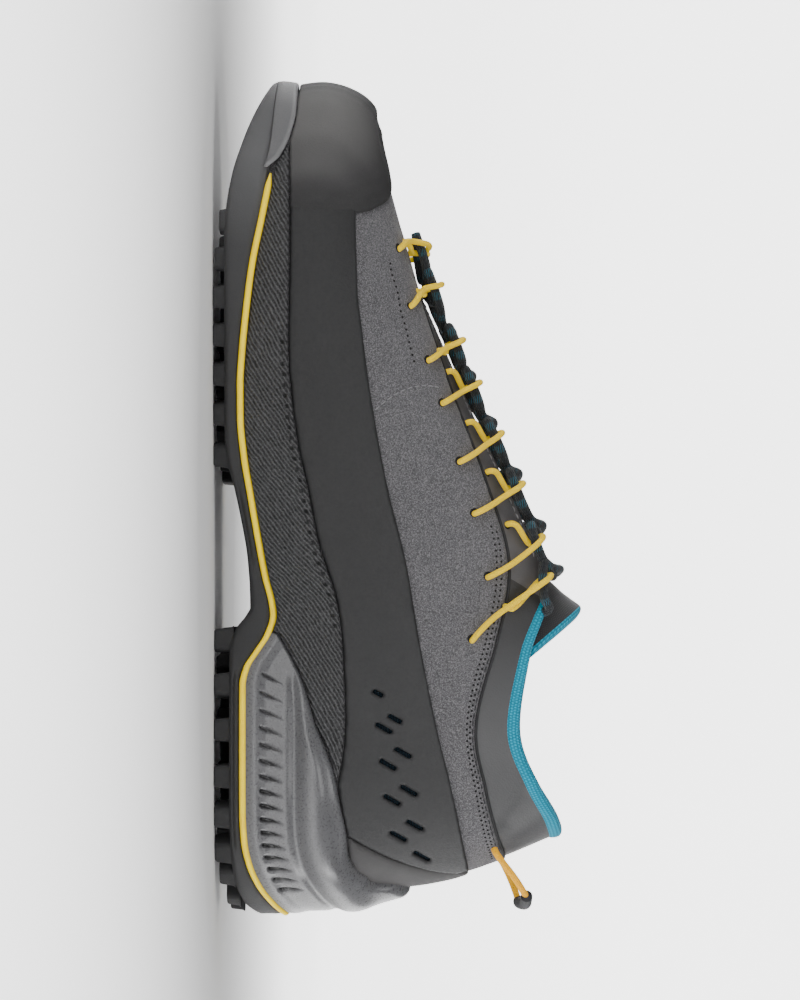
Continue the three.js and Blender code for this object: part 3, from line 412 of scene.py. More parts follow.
def grid_faces(rows, columns, closed=False):
    """Quads of points[row, column]; closed joins the last row to the first."""
    index = np.arange(rows * columns).reshape(rows, columns)
    here, there = (index, np.roll(index, -1, axis=0)) if closed else (index[:-1], index[1:])
    return np.stack([here[:, :-1], here[:, 1:], there[:, 1:], there[:, :-1]], axis=-1).reshape(-1, 4)


def climbed(points):
    """The length climbed to each of points[place, row]."""
    return np.cumsum(np.linalg.norm(np.diff(points, axis=1, prepend=points[:, :1]), axis=-1), axis=1)


def loop_uv(us, across):
    """The length round the shoe and another length, for points[place, row]."""
    return np.stack(np.broadcast_arrays(length_at(us)[:, None], across), axis=-1)


def border(faces):
    """Directed edges that only one face uses."""
    edges = np.concatenate([faces[:, [k, (k + 1) % 4]] for k in range(4)])
    key = np.sort(edges, axis=1)
    _, first, counts = np.unique(key, axis=0, return_index=True, return_counts=True)
    return edges[first[counts == 1]]


def snapped(u, v, inside):
    """Moves places onto the line where inside() is 0."""
    step = 0.003
    for _ in range(5):
        here = inside(u, v)
        by_u = (inside(u + step, v) - inside(u - step, v)) / (2 * step)
        by_v = (inside(u, v + step) - inside(u, v - step)) / (2 * step)
        scale = here / np.maximum(by_u ** 2 + by_v ** 2, 1e-6)
        u = u - np.clip(by_u * scale, -0.05, 0.05)
        v = v - np.clip(by_v * scale, -0.05, 0.05)
    return u, v


# The radius of a layer's rolled edge, and how far the edge goes down past it
ROLL = 0.5
SKIRT = 0.5
# About how many millimetres one step of v is
STEP_LENGTH = 26


def drawn_in(distance, radius):
    """How far a rolled edge of this radius draws in at a distance from it."""
    return radius * (1 - np.sqrt(np.clip(1 - (1 - np.minimum(distance / radius, 1)) ** 2, 0, 1)))


def skin(name, u_range, v_range, spacing, inside, height, material, nodes=(), uv_of=None, skirt=SKIRT):
    """A layer on the last, kept where inside(u, v), a distance in millimetres, is above 0.

    height(distance, u, v) is how far out its face lies. Its edge rolls over and goes down into what lies
    under it.
    """
    us = places(*u_range, spacing)
    vs = np.linspace(*v_range, max(3, int((v_range[1] - v_range[0]) * STEP_LENGTH / spacing)))
    u, v = (part.ravel() for part in np.meshgrid(us, vs, indexing="ij"))
    faces = grid_faces(len(us), len(vs))
    keep = inside(u[faces].mean(axis=1), v[faces].mean(axis=1)) > 0
    faces = faces[keep]
    used = np.unique(faces)
    renumber = np.zeros(len(u), int)
    renumber[used] = np.arange(len(used))
    faces, u, v = renumber[faces], u[used], v[used]
    rim = border(faces)
    edge = np.unique(rim)
    u[edge], v[edge] = snapped(u[edge], v[edge], inside)
    v = np.clip(v, 0, TOP)
    depth = np.maximum(inside(u, v), 0)
    depth[edge] = 0
    points = surface(u, v, height(depth, u, v) - drawn_in(depth, ROLL))
    low = surface(u[edge], v[edge], height(depth[edge], u[edge], v[edge]) - ROLL - skirt)
    below = {old: len(points) + k for k, old in enumerate(edge)}
    walls = [[b, a, below[a], below[b]] for a, b in rim]
    uv = np.stack(uv_of(u, v) if uv_of else (length_at(u), v * STEP_LENGTH), axis=-1)
    build(name, np.concatenate([points, low]), faces.tolist() + walls, material, nodes,
          np.concatenate([uv, uv[edge]]))


def curve_through(points, spacing):
    """A smooth curve through points (centripetal Catmull-Rom), sampled about every spacing."""
    points = np.asarray(points, float)
    points = np.concatenate([[2 * points[0] - points[1]], points, [2 * points[-1] - points[-2]]])
    out = []
    for i in range(1, len(points) - 2):
        p = points[i - 1:i + 3]
        gaps = np.maximum(np.linalg.norm(np.diff(p, axis=0), axis=1), 1e-6) ** 0.5
        t = np.concatenate([[0], np.cumsum(gaps)])
        steps = max(2, int(np.linalg.norm(p[2] - p[1]) / spacing))
        at = np.linspace(t[1], t[2], steps, endpoint=False)[:, None]
        a = [(t[k + 1] - at) / gaps[k] * p[k] + (at - t[k]) / gaps[k] * p[k + 1] for k in range(3)]
        b = [(t[k + 2] - at) / (t[k + 2] - t[k]) * a[k] + (at - t[k]) / (t[k + 2] - t[k]) * a[k + 1]
             for k in range(2)]
        out.append((t[2] - at) / gaps[1] * b[0] + (at - t[1]) / gaps[1] * b[1])
    return np.concatenate(out + [points[-2:-1]])


def tube(path, diameter, sides, flat=1.0):
    """Points, faces and lengths of a round cord with closed ends along a path."""
    path = np.asarray(path, float)
    along = unit(np.gradient(path, axis=0))
    across = np.zeros_like(path)
    across[0] = unit(np.cross(along[0], [0.31, 0.17, 0.93]))
    for k in range(1, len(path)):
        side = across[k - 1] - along[k] * (across[k - 1] @ along[k])
        across[k] = side / np.linalg.norm(side)
    other = np.cross(along, across)
    turn = np.linspace(0, 2 * math.pi, sides + 1)
    ring = np.cos(turn)[None, :, None] * across[:, None] + flat * np.sin(turn)[None, :, None] * other[:, None]
    points = path[:, None] + ring * (diameter / 2)
    run = run_lengths(path)
    uv = np.stack(np.broadcast_arrays(turn[None] * diameter / 2, run[:, None]), axis=-1)
    faces = grid_faces(len(path), sides + 1)[:, ::-1].tolist()
    last = (len(path) - 1) * (sides + 1)
    faces.append([k for k in range(sides)])
    faces.append([last + k for k in range(sides)][::-1])
    return points.reshape(-1, 3), faces, uv.reshape(-1, 2)


def joined(parts):
    """Several (points, faces, uv) as one."""
    points, faces, uvs, count = [], [], [], 0
    for part_points, part_faces, part_uv in parts:
        points.append(part_points)
        faces += [[k + count for k in face] for face in part_faces]
        uvs.append(part_uv)
        count += len(part_points)
    return np.concatenate(points), faces, np.concatenate(uvs)


def build_parts(name, parts, material, nodes=()):
    points, faces, uv = joined(parts)
    build(name, points, faces, material, nodes, uv)


# Materials
def srgb(code):
    """A colour written as in a paint chart, as Blender's linear colour."""
    values = [int(code[k:k + 2], 16) / 255 for k in (0, 2, 4)]
    return tuple(x / 12.92 if x <= 0.04045 else ((x + 0.055) / 1.055) ** 2.4 for x in values) + (1.0,)


# The mix node's places for its factor and two colours, and for the mixed colour
COLOUR_MIX_INPUTS = (0, 6, 7)
COLOUR_MIX_OUTPUT = 2


class Finish:
    """A material's node tree, with short ways to add to it."""

    def __init__(self, name, **sockets):
        self.material = bpy.data.materials.new(name)
        self.material.use_nodes = True
        self.tree = self.material.node_tree
        self.shader = self.tree.nodes["Principled BSDF"]
        self.fill(self.shader, sockets)
        self.coordinates = self.tree.nodes.new("ShaderNodeTexCoord")
        self.place = self.coordinates.outputs["Object"]
        self.lengths = self.coordinates.outputs["UV"]

    def put(self, value, socket):
        if isinstance(value, bpy.types.NodeSocket):
            self.tree.links.new(value, socket)
        else:
            socket.default_value = value

    def fill(self, node, sockets):
        for key, value in sockets.items():
            self.put(value, node.inputs[key.replace("_", " ")])

    def node(self, kind, settings=(), output=0, **sockets):
        made = self.tree.nodes.new("ShaderNode" + kind)
        for key, value in dict(settings).items():
            setattr(made, key, value)
        self.fill(made, sockets)
        return made.outputs[output]

    def noise(self, scale, detail=4.0, roughness=0.6, vector=None):
        return self.node("TexNoise", Vector=vector or self.place, Scale=scale, Detail=detail,
                         Roughness=roughness)

    def cells(self, scale, feature="F1", vector=None):
        return self.node("TexVoronoi", {"feature": feature}, Vector=vector or self.place, Scale=scale)

    def math(self, operation, *values, clamp=False):
        made = self.tree.nodes.new("ShaderNodeMath")
        made.operation = operation
        made.use_clamp = clamp
        for socket, value in zip(made.inputs, values):
            self.put(value, socket)
        return made.outputs[0]

    def axis(self, name, vector=None):
        return self.node("SeparateXYZ", output=name, Vector=vector or self.lengths)

    def ramp(self, factor, *stops):
        """A ramp of colours or greys: each stop is a place and a colour's code or a grey."""
        made = self.tree.nodes.new("ShaderNodeValToRGB")
        while len(made.color_ramp.elements) < len(stops):
            made.color_ramp.elements.new(0.5)
        for element, (position, colour) in zip(made.color_ramp.elements, stops):
            element.position = position
            element.color = srgb(colour) if isinstance(colour, str) else (colour, colour, colour, 1)
        self.tree.links.new(factor, made.inputs[0])
        return made.outputs[0]

    def mix(self, factor, a, b, blend="MIX"):
        made = self.tree.nodes.new("ShaderNodeMix")
        made.data_type = "RGBA"
        made.blend_type = blend
        for index, value in zip(COLOUR_MIX_INPUTS, (factor, a, b)):
            self.put(value, made.inputs[index])
        return made.outputs[COLOUR_MIX_OUTPUT]

    def wave(self, vector_value, period):
        """1 at each whole period of a length, 0 half way between."""
        turn = self.math("MULTIPLY", vector_value, 2 * math.pi / period)
        return self.math("MULTIPLY_ADD", self.math("COSINE", turn), 0.5, 0.5)

    def by_length(self, *stops):
        """A colour that changes along the shoe, at distances from the heel in millimetres."""
        forward = self.math("SUBTRACT", self.axis("X", self.place), FRAME_SHIFT[0] / 1000)
        share = self.math("DIVIDE", forward, SOLE_LENGTH / 1000)
        return self.ramp(share, *[(at / SOLE_LENGTH, colour) for at, colour in stops])

    def colour(self, value):
        self.fill(self.shader, {"Base Color": value})

    def rough(self, value):
        self.fill(self.shader, {"Roughness": value})

    def bump(self, *layers):
        """Stacks bumps: each layer is a height and its depth in millimetres."""
        normal = None
        for height, depth in layers:
            made = self.tree.nodes.new("ShaderNodeBump")
            made.inputs["Strength"].default_value = 1.0
            made.inputs["Distance"].default_value = depth / 1000
            self.tree.links.new(height, made.inputs["Height"])
            if normal is not None:
                self.tree.links.new(normal, made.inputs["Normal"])
            normal = made.outputs[0]
        self.tree.links.new(normal, self.shader.inputs["Normal"])


def suede_finish():
    f = Finish("suede", Sheen_Weight=0.12, Sheen_Roughness=0.5, Specular_IOR_Level=0.2)
    nap = f.noise(2300, 3, 0.75)
    cloud = f.noise(60, 4, 0.6)
    base = f.ramp(cloud, (0.3, "4a494b"), (0.7, "575658"))
    grain = f.ramp(nap, (0.36, "262528"), (0.5, "535254"), (0.64, "969498"))
    tufts = f.ramp(f.noise(900, 2, 0.6), (0.36, "3a393b"), (0.64, "6c6b6d"))
    f.colour(f.mix(0.45, f.mix(0.35, base, tufts), grain))
    f.rough(f.ramp(nap, (0.3, 0.98), (0.7, 0.8)))
    f.bump((cloud, 0.2), (nap, 0.2))
    return f.material


def rubber_finish(name, dark, light, tone=None, grain=0.08, roughness=0.72, gloss=0.35):
    """Matt moulded rubber; tone(finish) gives a colour that the surface is tinted with."""
    f = Finish(name, Specular_IOR_Level=gloss)
    cloud = f.noise(70, 5, 0.65)
    fine = f.noise(1900, 3, 0.6)
    colour = f.ramp(cloud, (0.3, dark), (0.75, light))
    if tone:
        colour = f.mix(0.85, colour, tone(f))
    colour = f.mix(0.22, colour, f.ramp(fine, (0.35, dark), (0.65, light)))
    f.colour(colour)
    f.rough(f.ramp(fine, (0.3, roughness - 0.08), (0.7, roughness + 0.08)))
    f.bump((cloud, 0.04), (fine, grain))
    return f.material


def cap_tone_and_painted_light(f):
    """The toe cap: a dark rolled rim along its back edge, partly the rubber's own dark and partly painted
    shade, a painted highlight over its front, and darker again at the tip.
    """
    from_edge = f.math("MULTIPLY", f.axis("Y"), 0.02)
    return f.ramp(from_edge, (0.06, "111112"), (0.13, "151516"), (0.2, "2c2b2c"),
                  (0.42, "5e5d5c"), (0.7, "565554"), (0.95, "403f3f"))


# Dark along most of the sole and lighter towards the toe: the lighter toe is a painted highlight for the
# rubber's gloss there.
def sole_tone_and_toe_highlight(f):
    return f.by_length((0, "29292a"), (190, "242425"), (235, "39393a"), (268, "606061"),
                       (293, "505051"))


def wrap_tone(f):
    """The outsole's rubber over the toe, with its border lightened: partly rubbed wear and partly a painted
    highlight where the edge catches light.
    """
    # A light band along the wrap's border: a painted edge highlight, with some rubbed wear.
    edge_highlight_and_wear = f.ramp(f.math("MULTIPLY", f.axis("Y"), 0.1), (0.02, 1.0), (0.14, 0.0))
    return f.mix(edge_highlight_and_wear, sole_tone_and_toe_highlight(f), srgb("8f8f90"))


RAND_RIB_TURN = math.radians(29)


def rand_finish():
    """Ribbed rubber: fine slanted ribs with painted shade in their grooves and a painted highlight on their
    crests, and a row of small pits along the upper border, painted near black as shade in them.
    """
    f = Finish("rand_ribs", Specular_IOR_Level=0.4)
    along, down = f.axis("X"), f.axis("Y")
    wobble = f.math("MULTIPLY", f.math("SUBTRACT", f.noise(160, 2), 0.5), 1.6)
    across = f.math("SUBTRACT", f.math("MULTIPLY", along, math.sin(RAND_RIB_TURN)),
                    f.math("MULTIPLY", down, math.cos(RAND_RIB_TURN)))
    ribs = f.wave(f.math("ADD", across, wobble), 1.3)
    teeth = f.wave(f.math("MULTIPLY", f.math("ADD", along, down), 0.7071), 1.2)
    height = f.math("MULTIPLY", ribs, f.math("MULTIPLY_ADD", teeth, 0.4, 0.6))
    grit = f.noise(1300, 3, 0.75)
    row = f.math("SUBTRACT", 1.0, f.math("ABSOLUTE", f.math("SUBTRACT", down, 1.7)), clamp=True)
    stretch = f.by_length((96, 0.0), (104, 1.0), (203, 1.0), (209, 0.0))
    spots = f.ramp(f.wave(along, 3.7), (0.6, 0.0), (0.8, 1.0))
    pits = f.math("MULTIPLY", f.math("MULTIPLY", row, stretch), spots)
    # The ribs' colour follows their height: painted shade down in the grooves and a painted highlight on the
    # crests.
    base = f.ramp(ribs, (0.15, "101011"), (0.55, "29292a"), (0.95, "555556"))
    base = f.mix(0.4, base, f.ramp(grit, (0.4, "0c0c0d"), (0.64, "646466")))
    # The pits are painted near black: painted shade down in the holes.
    f.colour(f.mix(pits, base, srgb("050506")))
    f.rough(f.ramp(grit, (0.3, 0.5), (0.7, 0.8)))
    f.bump((height, 0.55), (grit, 0.16), (f.math("SUBTRACT", 1.0, pits), 0.8))
    return f.material


def smooth_finish(name, dark, light, grain=0.05, roughness=0.55, tone=None):
    """Coated microfibre: smooth, with a fine leather grain."""
    f = Finish(name, Specular_IOR_Level=0.4)
    cloud = f.noise(38, 4, 0.6)
    pores = f.cells(1500)
    fine = f.noise(900, 4, 0.6)
    colour = f.ramp(cloud, (0.3, dark), (0.72, light))
    if tone:
        colour = f.mix(0.8, colour, tone(f))
    f.colour(f.mix(0.2, colour, f.ramp(fine, (0.3, dark), (0.7, light))))
    f.rough(f.ramp(fine, (0.3, roughness - 0.06), (0.7, roughness + 0.1)))
    f.bump((cloud, 0.08), (pores, grain), (fine, grain))
    return f.material


def panel_tone(f):
    return f.by_length((12, "2c2c2d"), (60, "252526"), (120, "1b1b1c"), (200, "151516"),
                       (240, "141415"))


def band_tone_and_painted_light(f):
    """The collar panel: dark beside the top eyelets and at the heel, lighter between them; partly the panel's
    own tone, partly painted shade at the ends and a painted highlight in the middle.
    """
    return f.by_length((8, "2c2c2d"), (22, "464647"), (40, "414142"), (60, "4a4a4b"),
                       (80, "3b3b3c"), (100, "232324"), (122, "19191a"))


# A little light of its own keeps the yellow bright
GLOW_OF_YELLOW = 0.22
BEAD_GIRTH = 6.0


def bead_finish():
    """Smooth yellow rubber with a painted glow of its own, amber down at its two edges as painted shade where
    its round face turns in.
    """
    f = Finish("bead_yellow", Specular_IOR_Level=0.35, Emission_Color=srgb("ffe000"),
               Emission_Strength=GLOW_OF_YELLOW)
    tone = f.noise(120, 3)
    yellow = f.ramp(tone, (0.3, "f6d000"), (0.7, "ffe004"))
    # Amber at the strip's two edges: painted shade where its round face turns in.
    side = f.ramp(f.math("DIVIDE", f.axis("Y"), BEAD_GIRTH), (0.12, 1.0), (0.3, 0.0), (0.7, 0.0), (0.88, 1.0))
    f.colour(f.mix(side, yellow, srgb("96700a")))
    f.rough(f.ramp(f.noise(900), (0.3, 0.42), (0.7, 0.58)))
    f.bump((f.noise(700), 0.05))
    return f.material


def foam_finish():
    """Satin moulded foam with a faint mottle, a painted highlight about the heel cup, and painted shade down
    in the ribs' grooves.
    """
    f = Finish("foam", Specular_IOR_Level=0.7)
    cloud = f.noise(45, 4, 0.55)
    fine = f.noise(1300, 3, 0.6)
    groove = f.node("Attribute", {"attribute_name": "Groove"}, output="Fac")
    colour = f.ramp(cloud, (0.28, "48484a"), (0.75, "565658"))
    # Lighter about the heel cup: a painted highlight of the foam's satin gloss there.
    colour = f.mix(0.3, colour, f.by_length((8, "5c5c5e"), (28, "626264"), (60, "4a4a4c"),
                                            (100, "434345")))
    colour = f.mix(0.2, colour, f.ramp(fine, (0.35, "3c3c3e"), (0.7, "68686b")))
    # Near black down in the ribs' grooves: painted shade.
    f.colour(f.mix(f.ramp(groove, (0.15, 0.0), (0.6, 1.0)), colour, srgb("0f0f10")))
    f.rough(f.ramp(fine, (0.3, 0.24), (0.7, 0.36)))
    f.bump((cloud, 0.1), (fine, 0.05))
    return f.material


def knit_finish(name, dark, light, pitch=1.3, depth=0.25, sheen=0.4):
    """A knitted mesh: rows of small raised stitches, darker between them as painted shade in the hollows."""
    f = Finish(name, Sheen_Weight=sheen, Specular_IOR_Level=0.2)
    x, y = f.axis("X"), f.axis("Y")
    shifted = f.math("ADD", x, f.math("MULTIPLY", f.math("ROUND", f.math("DIVIDE", y, pitch)), pitch / 2))
    stitch = f.math("MULTIPLY", f.wave(shifted, pitch), f.wave(y, pitch))
    fuzz = f.noise(1700, 3, 0.7)
    # The colour follows the stitches' height: painted shade between them.
    base = f.ramp(stitch, (0.0, dark), (0.65, light))
    f.colour(f.mix(0.25, base, f.ramp(fuzz, (0.35, dark), (0.7, light))))
    f.rough(f.ramp(fuzz, (0.3, 0.85), (0.7, 0.98)))
    f.bump((stitch, depth), (fuzz, 0.08))
    return f.material


def braid_finish(name, dark, light, fleck=None, period=2.6, around=3.0, bright=0.0):
    """A round braid: two families of strands that cross, darker between them as painted shade, with coloured
    flecks on some of them. bright is the strength of a painted glow of its own in its light colour.
    """
    f = Finish(name, Sheen_Weight=0.1, Specular_IOR_Level=0.3, Emission_Color=srgb(light),
               Emission_Strength=bright)
    x, y = f.axis("X"), f.axis("Y")
    turn = f.math("MULTIPLY", x, around)
    left = f.wave(f.math("ADD", y, turn), period)
    right = f.wave(f.math("SUBTRACT", y, turn), period)
    strands = f.math("MAXIMUM", left, right)
    fuzz = f.noise(1600, 3, 0.7)
    # The colour follows the strands' height: painted shade between them.
    base = f.ramp(strands, (0.35, dark), (0.9, light))
    if fleck:
        spots = f.math("MULTIPLY", f.ramp(right, (0.7, 0.0), (0.85, 0.9)),
                       f.ramp(f.wave(y, 3.1 * period), (0.72, 0.0), (0.85, 1.0)))
        base = f.mix(spots, base, srgb(fleck))
    f.colour(f.mix(0.2, base, f.ramp(fuzz, (0.3, dark), (0.7, light))))
    f.rough(f.ramp(fuzz, (0.3, 0.6), (0.7, 0.85)))
    f.bump((strands, 0.28), (fuzz, 0.06))
    return f.material


def insole_finish():
    """Dark brushed fabric with one orange field ahead of the heel."""
    f = Finish("insole", Sheen_Weight=0.3, Specular_IOR_Level=0.2)
    x, y = f.axis("X"), f.axis("Y")
    pile = f.noise(1500, 3, 0.7)
    base = f.ramp(pile, (0.32, "1b1b1c"), (0.7, "3c3c3e"))
    lean = f.math("MULTIPLY", y, 0.12)
    start = f.math("GREATER_THAN", f.math("ADD", x, lean), ORANGE_FIELD["back"])
    end = f.math("LESS_THAN", x, ORANGE_FIELD["front"])
    wide = f.math("LESS_THAN", f.math("ABSOLUTE", f.math("SUBTRACT", y, ORANGE_FIELD["centre"])),
                  ORANGE_FIELD["half"])
    field = f.math("MULTIPLY", f.math("MULTIPLY", start, end), wide)
    f.colour(f.mix(field, base, f.ramp(pile, (0.3, "c9820f"), (0.7, "f0a724"))))
    f.rough(f.ramp(pile, (0.3, 0.85), (0.7, 0.97)))
    f.bump((pile, 0.15))
    return f.material


ORANGE_FIELD = {"back": 68.0, "front": 150.0, "centre": 1.0, "half": 13.5}

SUEDE = suede_finish()
RAND_RIBS = rand_finish()
TOE_RUBBER = rubber_finish("toe_rubber", "353435", "4c4b4b", cap_tone_and_painted_light, grain=0.1)
COUNTER_RUBBER = rubber_finish("counter_rubber", "3b3a3b", "4b4a4a")
SOLE_RUBBER = rubber_finish("sole_rubber", "222223", "3a3a3c", sole_tone_and_toe_highlight, grain=0.1, roughness=0.6)
WRAP_RUBBER = rubber_finish("wrap_rubber", "3c3c3d", "5c5c5e", wrap_tone, grain=0.1, roughness=0.5)
PANEL = smooth_finish("side_panel", "1d1d1e", "262627", tone=panel_tone)
BAND = smooth_finish("collar_band", "353536", "434344", roughness=0.5, tone=band_tone_and_painted_light)
EYESTAY = smooth_finish("eyestay", "474648", "575658", roughness=0.6)
TONGUE_CLOTH = knit_finish("tongue_cloth", "1f1f20", "323234", pitch=0.7, depth=0.06)
DARK_CLOTH = knit_finish("dark_lining", "101012", "232326", pitch=1.2)
TEAL_KNIT = knit_finish("teal_knit", "07687f", "0fa9c9", sheen=0.1)
# The mesh behind the vent slots is dark blue: partly its own colour, partly painted shade down in the slots.
SLOT_MESH = knit_finish("slot_mesh", "07090c", "142a36", pitch=0.8, sheen=0.0)
BEAD = bead_finish()
FOAM = foam_finish()
INSOLE_CLOTH = insole_finish()
LACE_BRAID = braid_finish("lace_braid", "0d0f11", "22262a", fleck="1d6477")
LOOP_BRAID = braid_finish("loop_braid", "e0a400", "ffdc00", period=1.6, bright=GLOW_OF_YELLOW)
PULL_BRAID = braid_finish("pull_braid", "d98c00", "ffbc08", period=1.8, bright=GLOW_OF_YELLOW)
SLEEVE_RUBBER = rubber_finish("sleeve_rubber", "1d1d1f", "303034")
# Near-black discs for the eyelet and pin holes: painted shade down in the holes.
HOLE_SHADE = smooth_finish("hole_shade", "050505", "0a0a0a", roughness=0.9)
THREAD_GREY = smooth_finish("thread_grey", "737275", "908f92", roughness=0.8)
# Dark thread for the collar stitches, and for the painted shadow line along the suede's edge.
DARK_THREAD_AND_EDGE_SHADOW = smooth_finish("dark_thread_and_edge_shadow", "1b1b1c", "2b2b2d", roughness=0.8)


# The upper: suede, eyestay and collar panel, rim and lining
def suede_end(u):
    return round_the_loop(u, SUEDE_ENDS)


def climb(u, v):
    """Millimetres per step of v."""
    return np.linalg.norm(form(u, np.minimum(v + 0.05, TOP)) - form(u, v - 0.05), axis=-1) / 0.1


def suede():
    def inside(u, v):
        return np.minimum(suede_end(u) - v, v - 0.02) * STEP_LENGTH

    skin("upper_suede", (0, STATION_COUNT), (0.0, 3.95), 1.1, inside, lambda d, u, v: 0 * d, SUEDE,
         ["upper"])


def wall_at(u, v):
    return WALL + (round_the_loop(u, PADS) - WALL) * smooth_step(v, 2, 3.5)


RIM_CROWN = 0.2
# Round the collar the teal lining rolls over the rim and this far down its outer side
LINING_WRAP = 1.7
LINING_PROUD = 0.8


def rim_points(u, share):
    """Points over the rounded rim, from its outer edge at share 0 to its inner edge at share 1."""
    outer = surface(u, TOP, -EYESTAY_STEP)
    inner = surface(u, TOP, -wall_at(u, TOP))
    across = np.linalg.norm(outer - inner, axis=-1)
    turn = math.pi * share
    points = outer + (inner - outer) * ((1 - np.cos(turn)) / 2)[..., None]
    points[..., 2] += RIM_CROWN * 2 * across * np.sin(turn)
    return points


def collar_zone(u):
    """1 round the collar, 0 along the throat."""
    around = np.minimum(u % STATION_COUNT, STATION_COUNT - u % STATION_COUNT)
    return 1 - smooth_step(around, 5.5, 6.1)


def collar_panel():
    """The smooth panel beyond the suede, a step lower, and in the throat the rim too."""
    us = places(0, STATION_COUNT, 1.3)[:-1]
    low = suede_end(us) - 0.12
    rows = [surface(us, low + (TOP - low) * t, -EYESTAY_STEP) for t in np.linspace(0, 1, 22)]
    rows += [rim_points(us, t * (1 - collar_zone(us))) for t in np.linspace(0, 1, 9)[1:]]
    points = np.stack(rows, axis=1)
    points[:, -1] = points[:, -1] + (points[:, -2] - points[:, -1]) * 0.1
    uv = loop_uv(us, climbed(points))
    faces = grid_faces(*points.shape[:2], closed=True)
    piece = build("collar_panel", points, faces, [BAND, EYESTAY], ["upper"], uv)
    middle = collar_zone(np.repeat(us, points.shape[1] - 1))
    piece.data.polygons.foreach_set("material_index", (middle < 0.5).astype(int))


# How far down the collar's inside the teal knit goes, and its rows of points there
TEAL_DEPTH = 2.75
TEAL_ROWS = 14


def lining():
    """Teal knit over the collar's rim and down its inside, dark cloth below that and in the throat."""
    us = places(0, STATION_COUNT, 1.5)[:-1]
    zone = collar_zone(us)
    outward = form_normal(us, TOP) * (LINING_PROUD * zone)[:, None]
    upward = np.stack([0 * us, 0 * us, 1.1 * zone], axis=-1)
    wrap = LINING_WRAP * zone / climb(us, TOP - 0.1)
    rows = []
    for t in np.linspace(0, 0.8, 5):
        roll = LINING_PROUD * zone * math.sin(math.pi / 2 * t)
        rows.append(surface(us, TOP - wrap * (1 - t), -EYESTAY_STEP - 0.1 + roll))
    for t in np.linspace(0, 1, 12):
        share = 1 - zone + zone * t
        turn = math.pi * t
        rows.append(rim_points(us, share) + outward * max(math.cos(turn), 0) + upward * math.sin(turn))
    teal_end = len(rows) + TEAL_ROWS - 1
    inner = np.concatenate([np.linspace(TOP - 0.05, TEAL_DEPTH, TEAL_ROWS),
                            np.linspace(TEAL_DEPTH - 0.1, 0.5, 22)])
    for v in inner:
        rows.append(surface(us, v, -wall_at(us, v) - 0.4 * zone * bell(v, 3.4, 0.5)))
    points = np.stack(rows, axis=1)
    uv = loop_uv(us, climbed(points))
    faces = grid_faces(*points.shape[:2], closed=True)
    piece = build("collar_lining", points, faces, [TEAL_KNIT, DARK_CLOTH], ["upper"], uv)
    columns = points.shape[1] - 1
    teal = (collar_zone(np.repeat(us, columns)) > 0.5) & (np.tile(np.arange(columns), len(us)) < teal_end)
    piece.data.polygons.foreach_set("material_index", (~teal).astype(int))


# Overlays
def on_loop(u, side):
    """Places on the medial side as they are, or for side -1 their partners on the other side."""
    return u if side > 0 else STATION_COUNT - u


def side_range(side, u0, u1):
    return (u0, u1) if side > 0 else (STATION_COUNT - u1, STATION_COUNT - u0)


# How far down the rand's edge goes, and where its ribs end at the toe
RAND_SKIRT = 2.6
RAND_END = 285


def rand(side):
    def inside(u, v):
        p = form(u, v)
        x = p[..., 0]
        seat = (p[..., 2] - seat_height(x) - CLEARANCE)
        wrap = np.maximum(above(wrap_line, p) - CLEARANCE, WRAP_START - x)
        seam = x - seam_line(p[..., 2]) - CLEARANCE
        return np.minimum.reduce([seat, -above(rand_line, p), wrap, seam, RAND_END - x])

    def uv_of(u, v):
        return length_at(on_loop(u, side)), -above(rand_line, form(u, v))

    name = "rand_medial" if side > 0 else "rand_lateral"
    skin(name + "_ribbed", side_range(side, 2.2, 12.9), (0.0, 1.7), 0.9, inside,
         lambda d, u, v: CLEARANCE + RAND_THICKNESS + 0 * d, RAND_RIBS, [name], uv_of, RAND_SKIRT)


SLOT_LENGTH = 6.4
SLOT_WIDTH = 1.8
SLOTS = table("along up share", [0.271, 0.477, 0.6], [0.232, 0.485, 1], [0.189, 0.497, 1], [0.148, 0.509, 1],
              [0.105, 0.528, 1], [0.242, 0.523, 0.8], [0.203, 0.542, 1], [0.159, 0.560, 1], [0.118, 0.578, 1],
              [0.081, 0.599, 1])
SLOT_LEAN = 0.58


def slot_distance(points):
    """Distance to the nearest vent slot's edge, seen from the side: negative inside a slot."""
    nearest = np.full(points.shape[:-1], 1e9)
    for row in SLOTS:
        low = np.array([row["along"] * SOLE_LENGTH + SLOT_WIDTH / 2, row["up"] * INSTEP_HEIGHT + 0.2])
        rise = SLOT_LENGTH * row["share"] * 0.865
        direction = np.array([-SLOT_LEAN, 1.0])
        length = rise * math.hypot(*direction)
        direction /= math.hypot(*direction)
        local = points[..., [0, 2]] - (low + direction * length / 2)
        along = np.abs(local @ direction) - length / 2 + 0.35
        across = np.abs(local @ np.array([direction[1], -direction[0]])) - SLOT_WIDTH * 0.42 + 0.35
        outside = np.hypot(np.maximum(along, 0), np.maximum(across, 0))
        nearest = np.minimum(nearest, outside + np.minimum(np.maximum(along, across), 0) - 0.35)
    return nearest


# How far the side panel runs on under the toe cap
PANEL_TUCK = 2.5


def panel_region(p):
    x = p[..., 0]
    cap = cap_line(p[..., 1]) - x + PANEL_TUCK
    seam = x - seam_line(p[..., 2]) - CLEARANCE
    seat = p[..., 2] - seat_height(x) - CLEARANCE
    return np.minimum.reduce([above(rand_line, p) - CLEARANCE, seat, -above(panel_line, p), cap, seam])


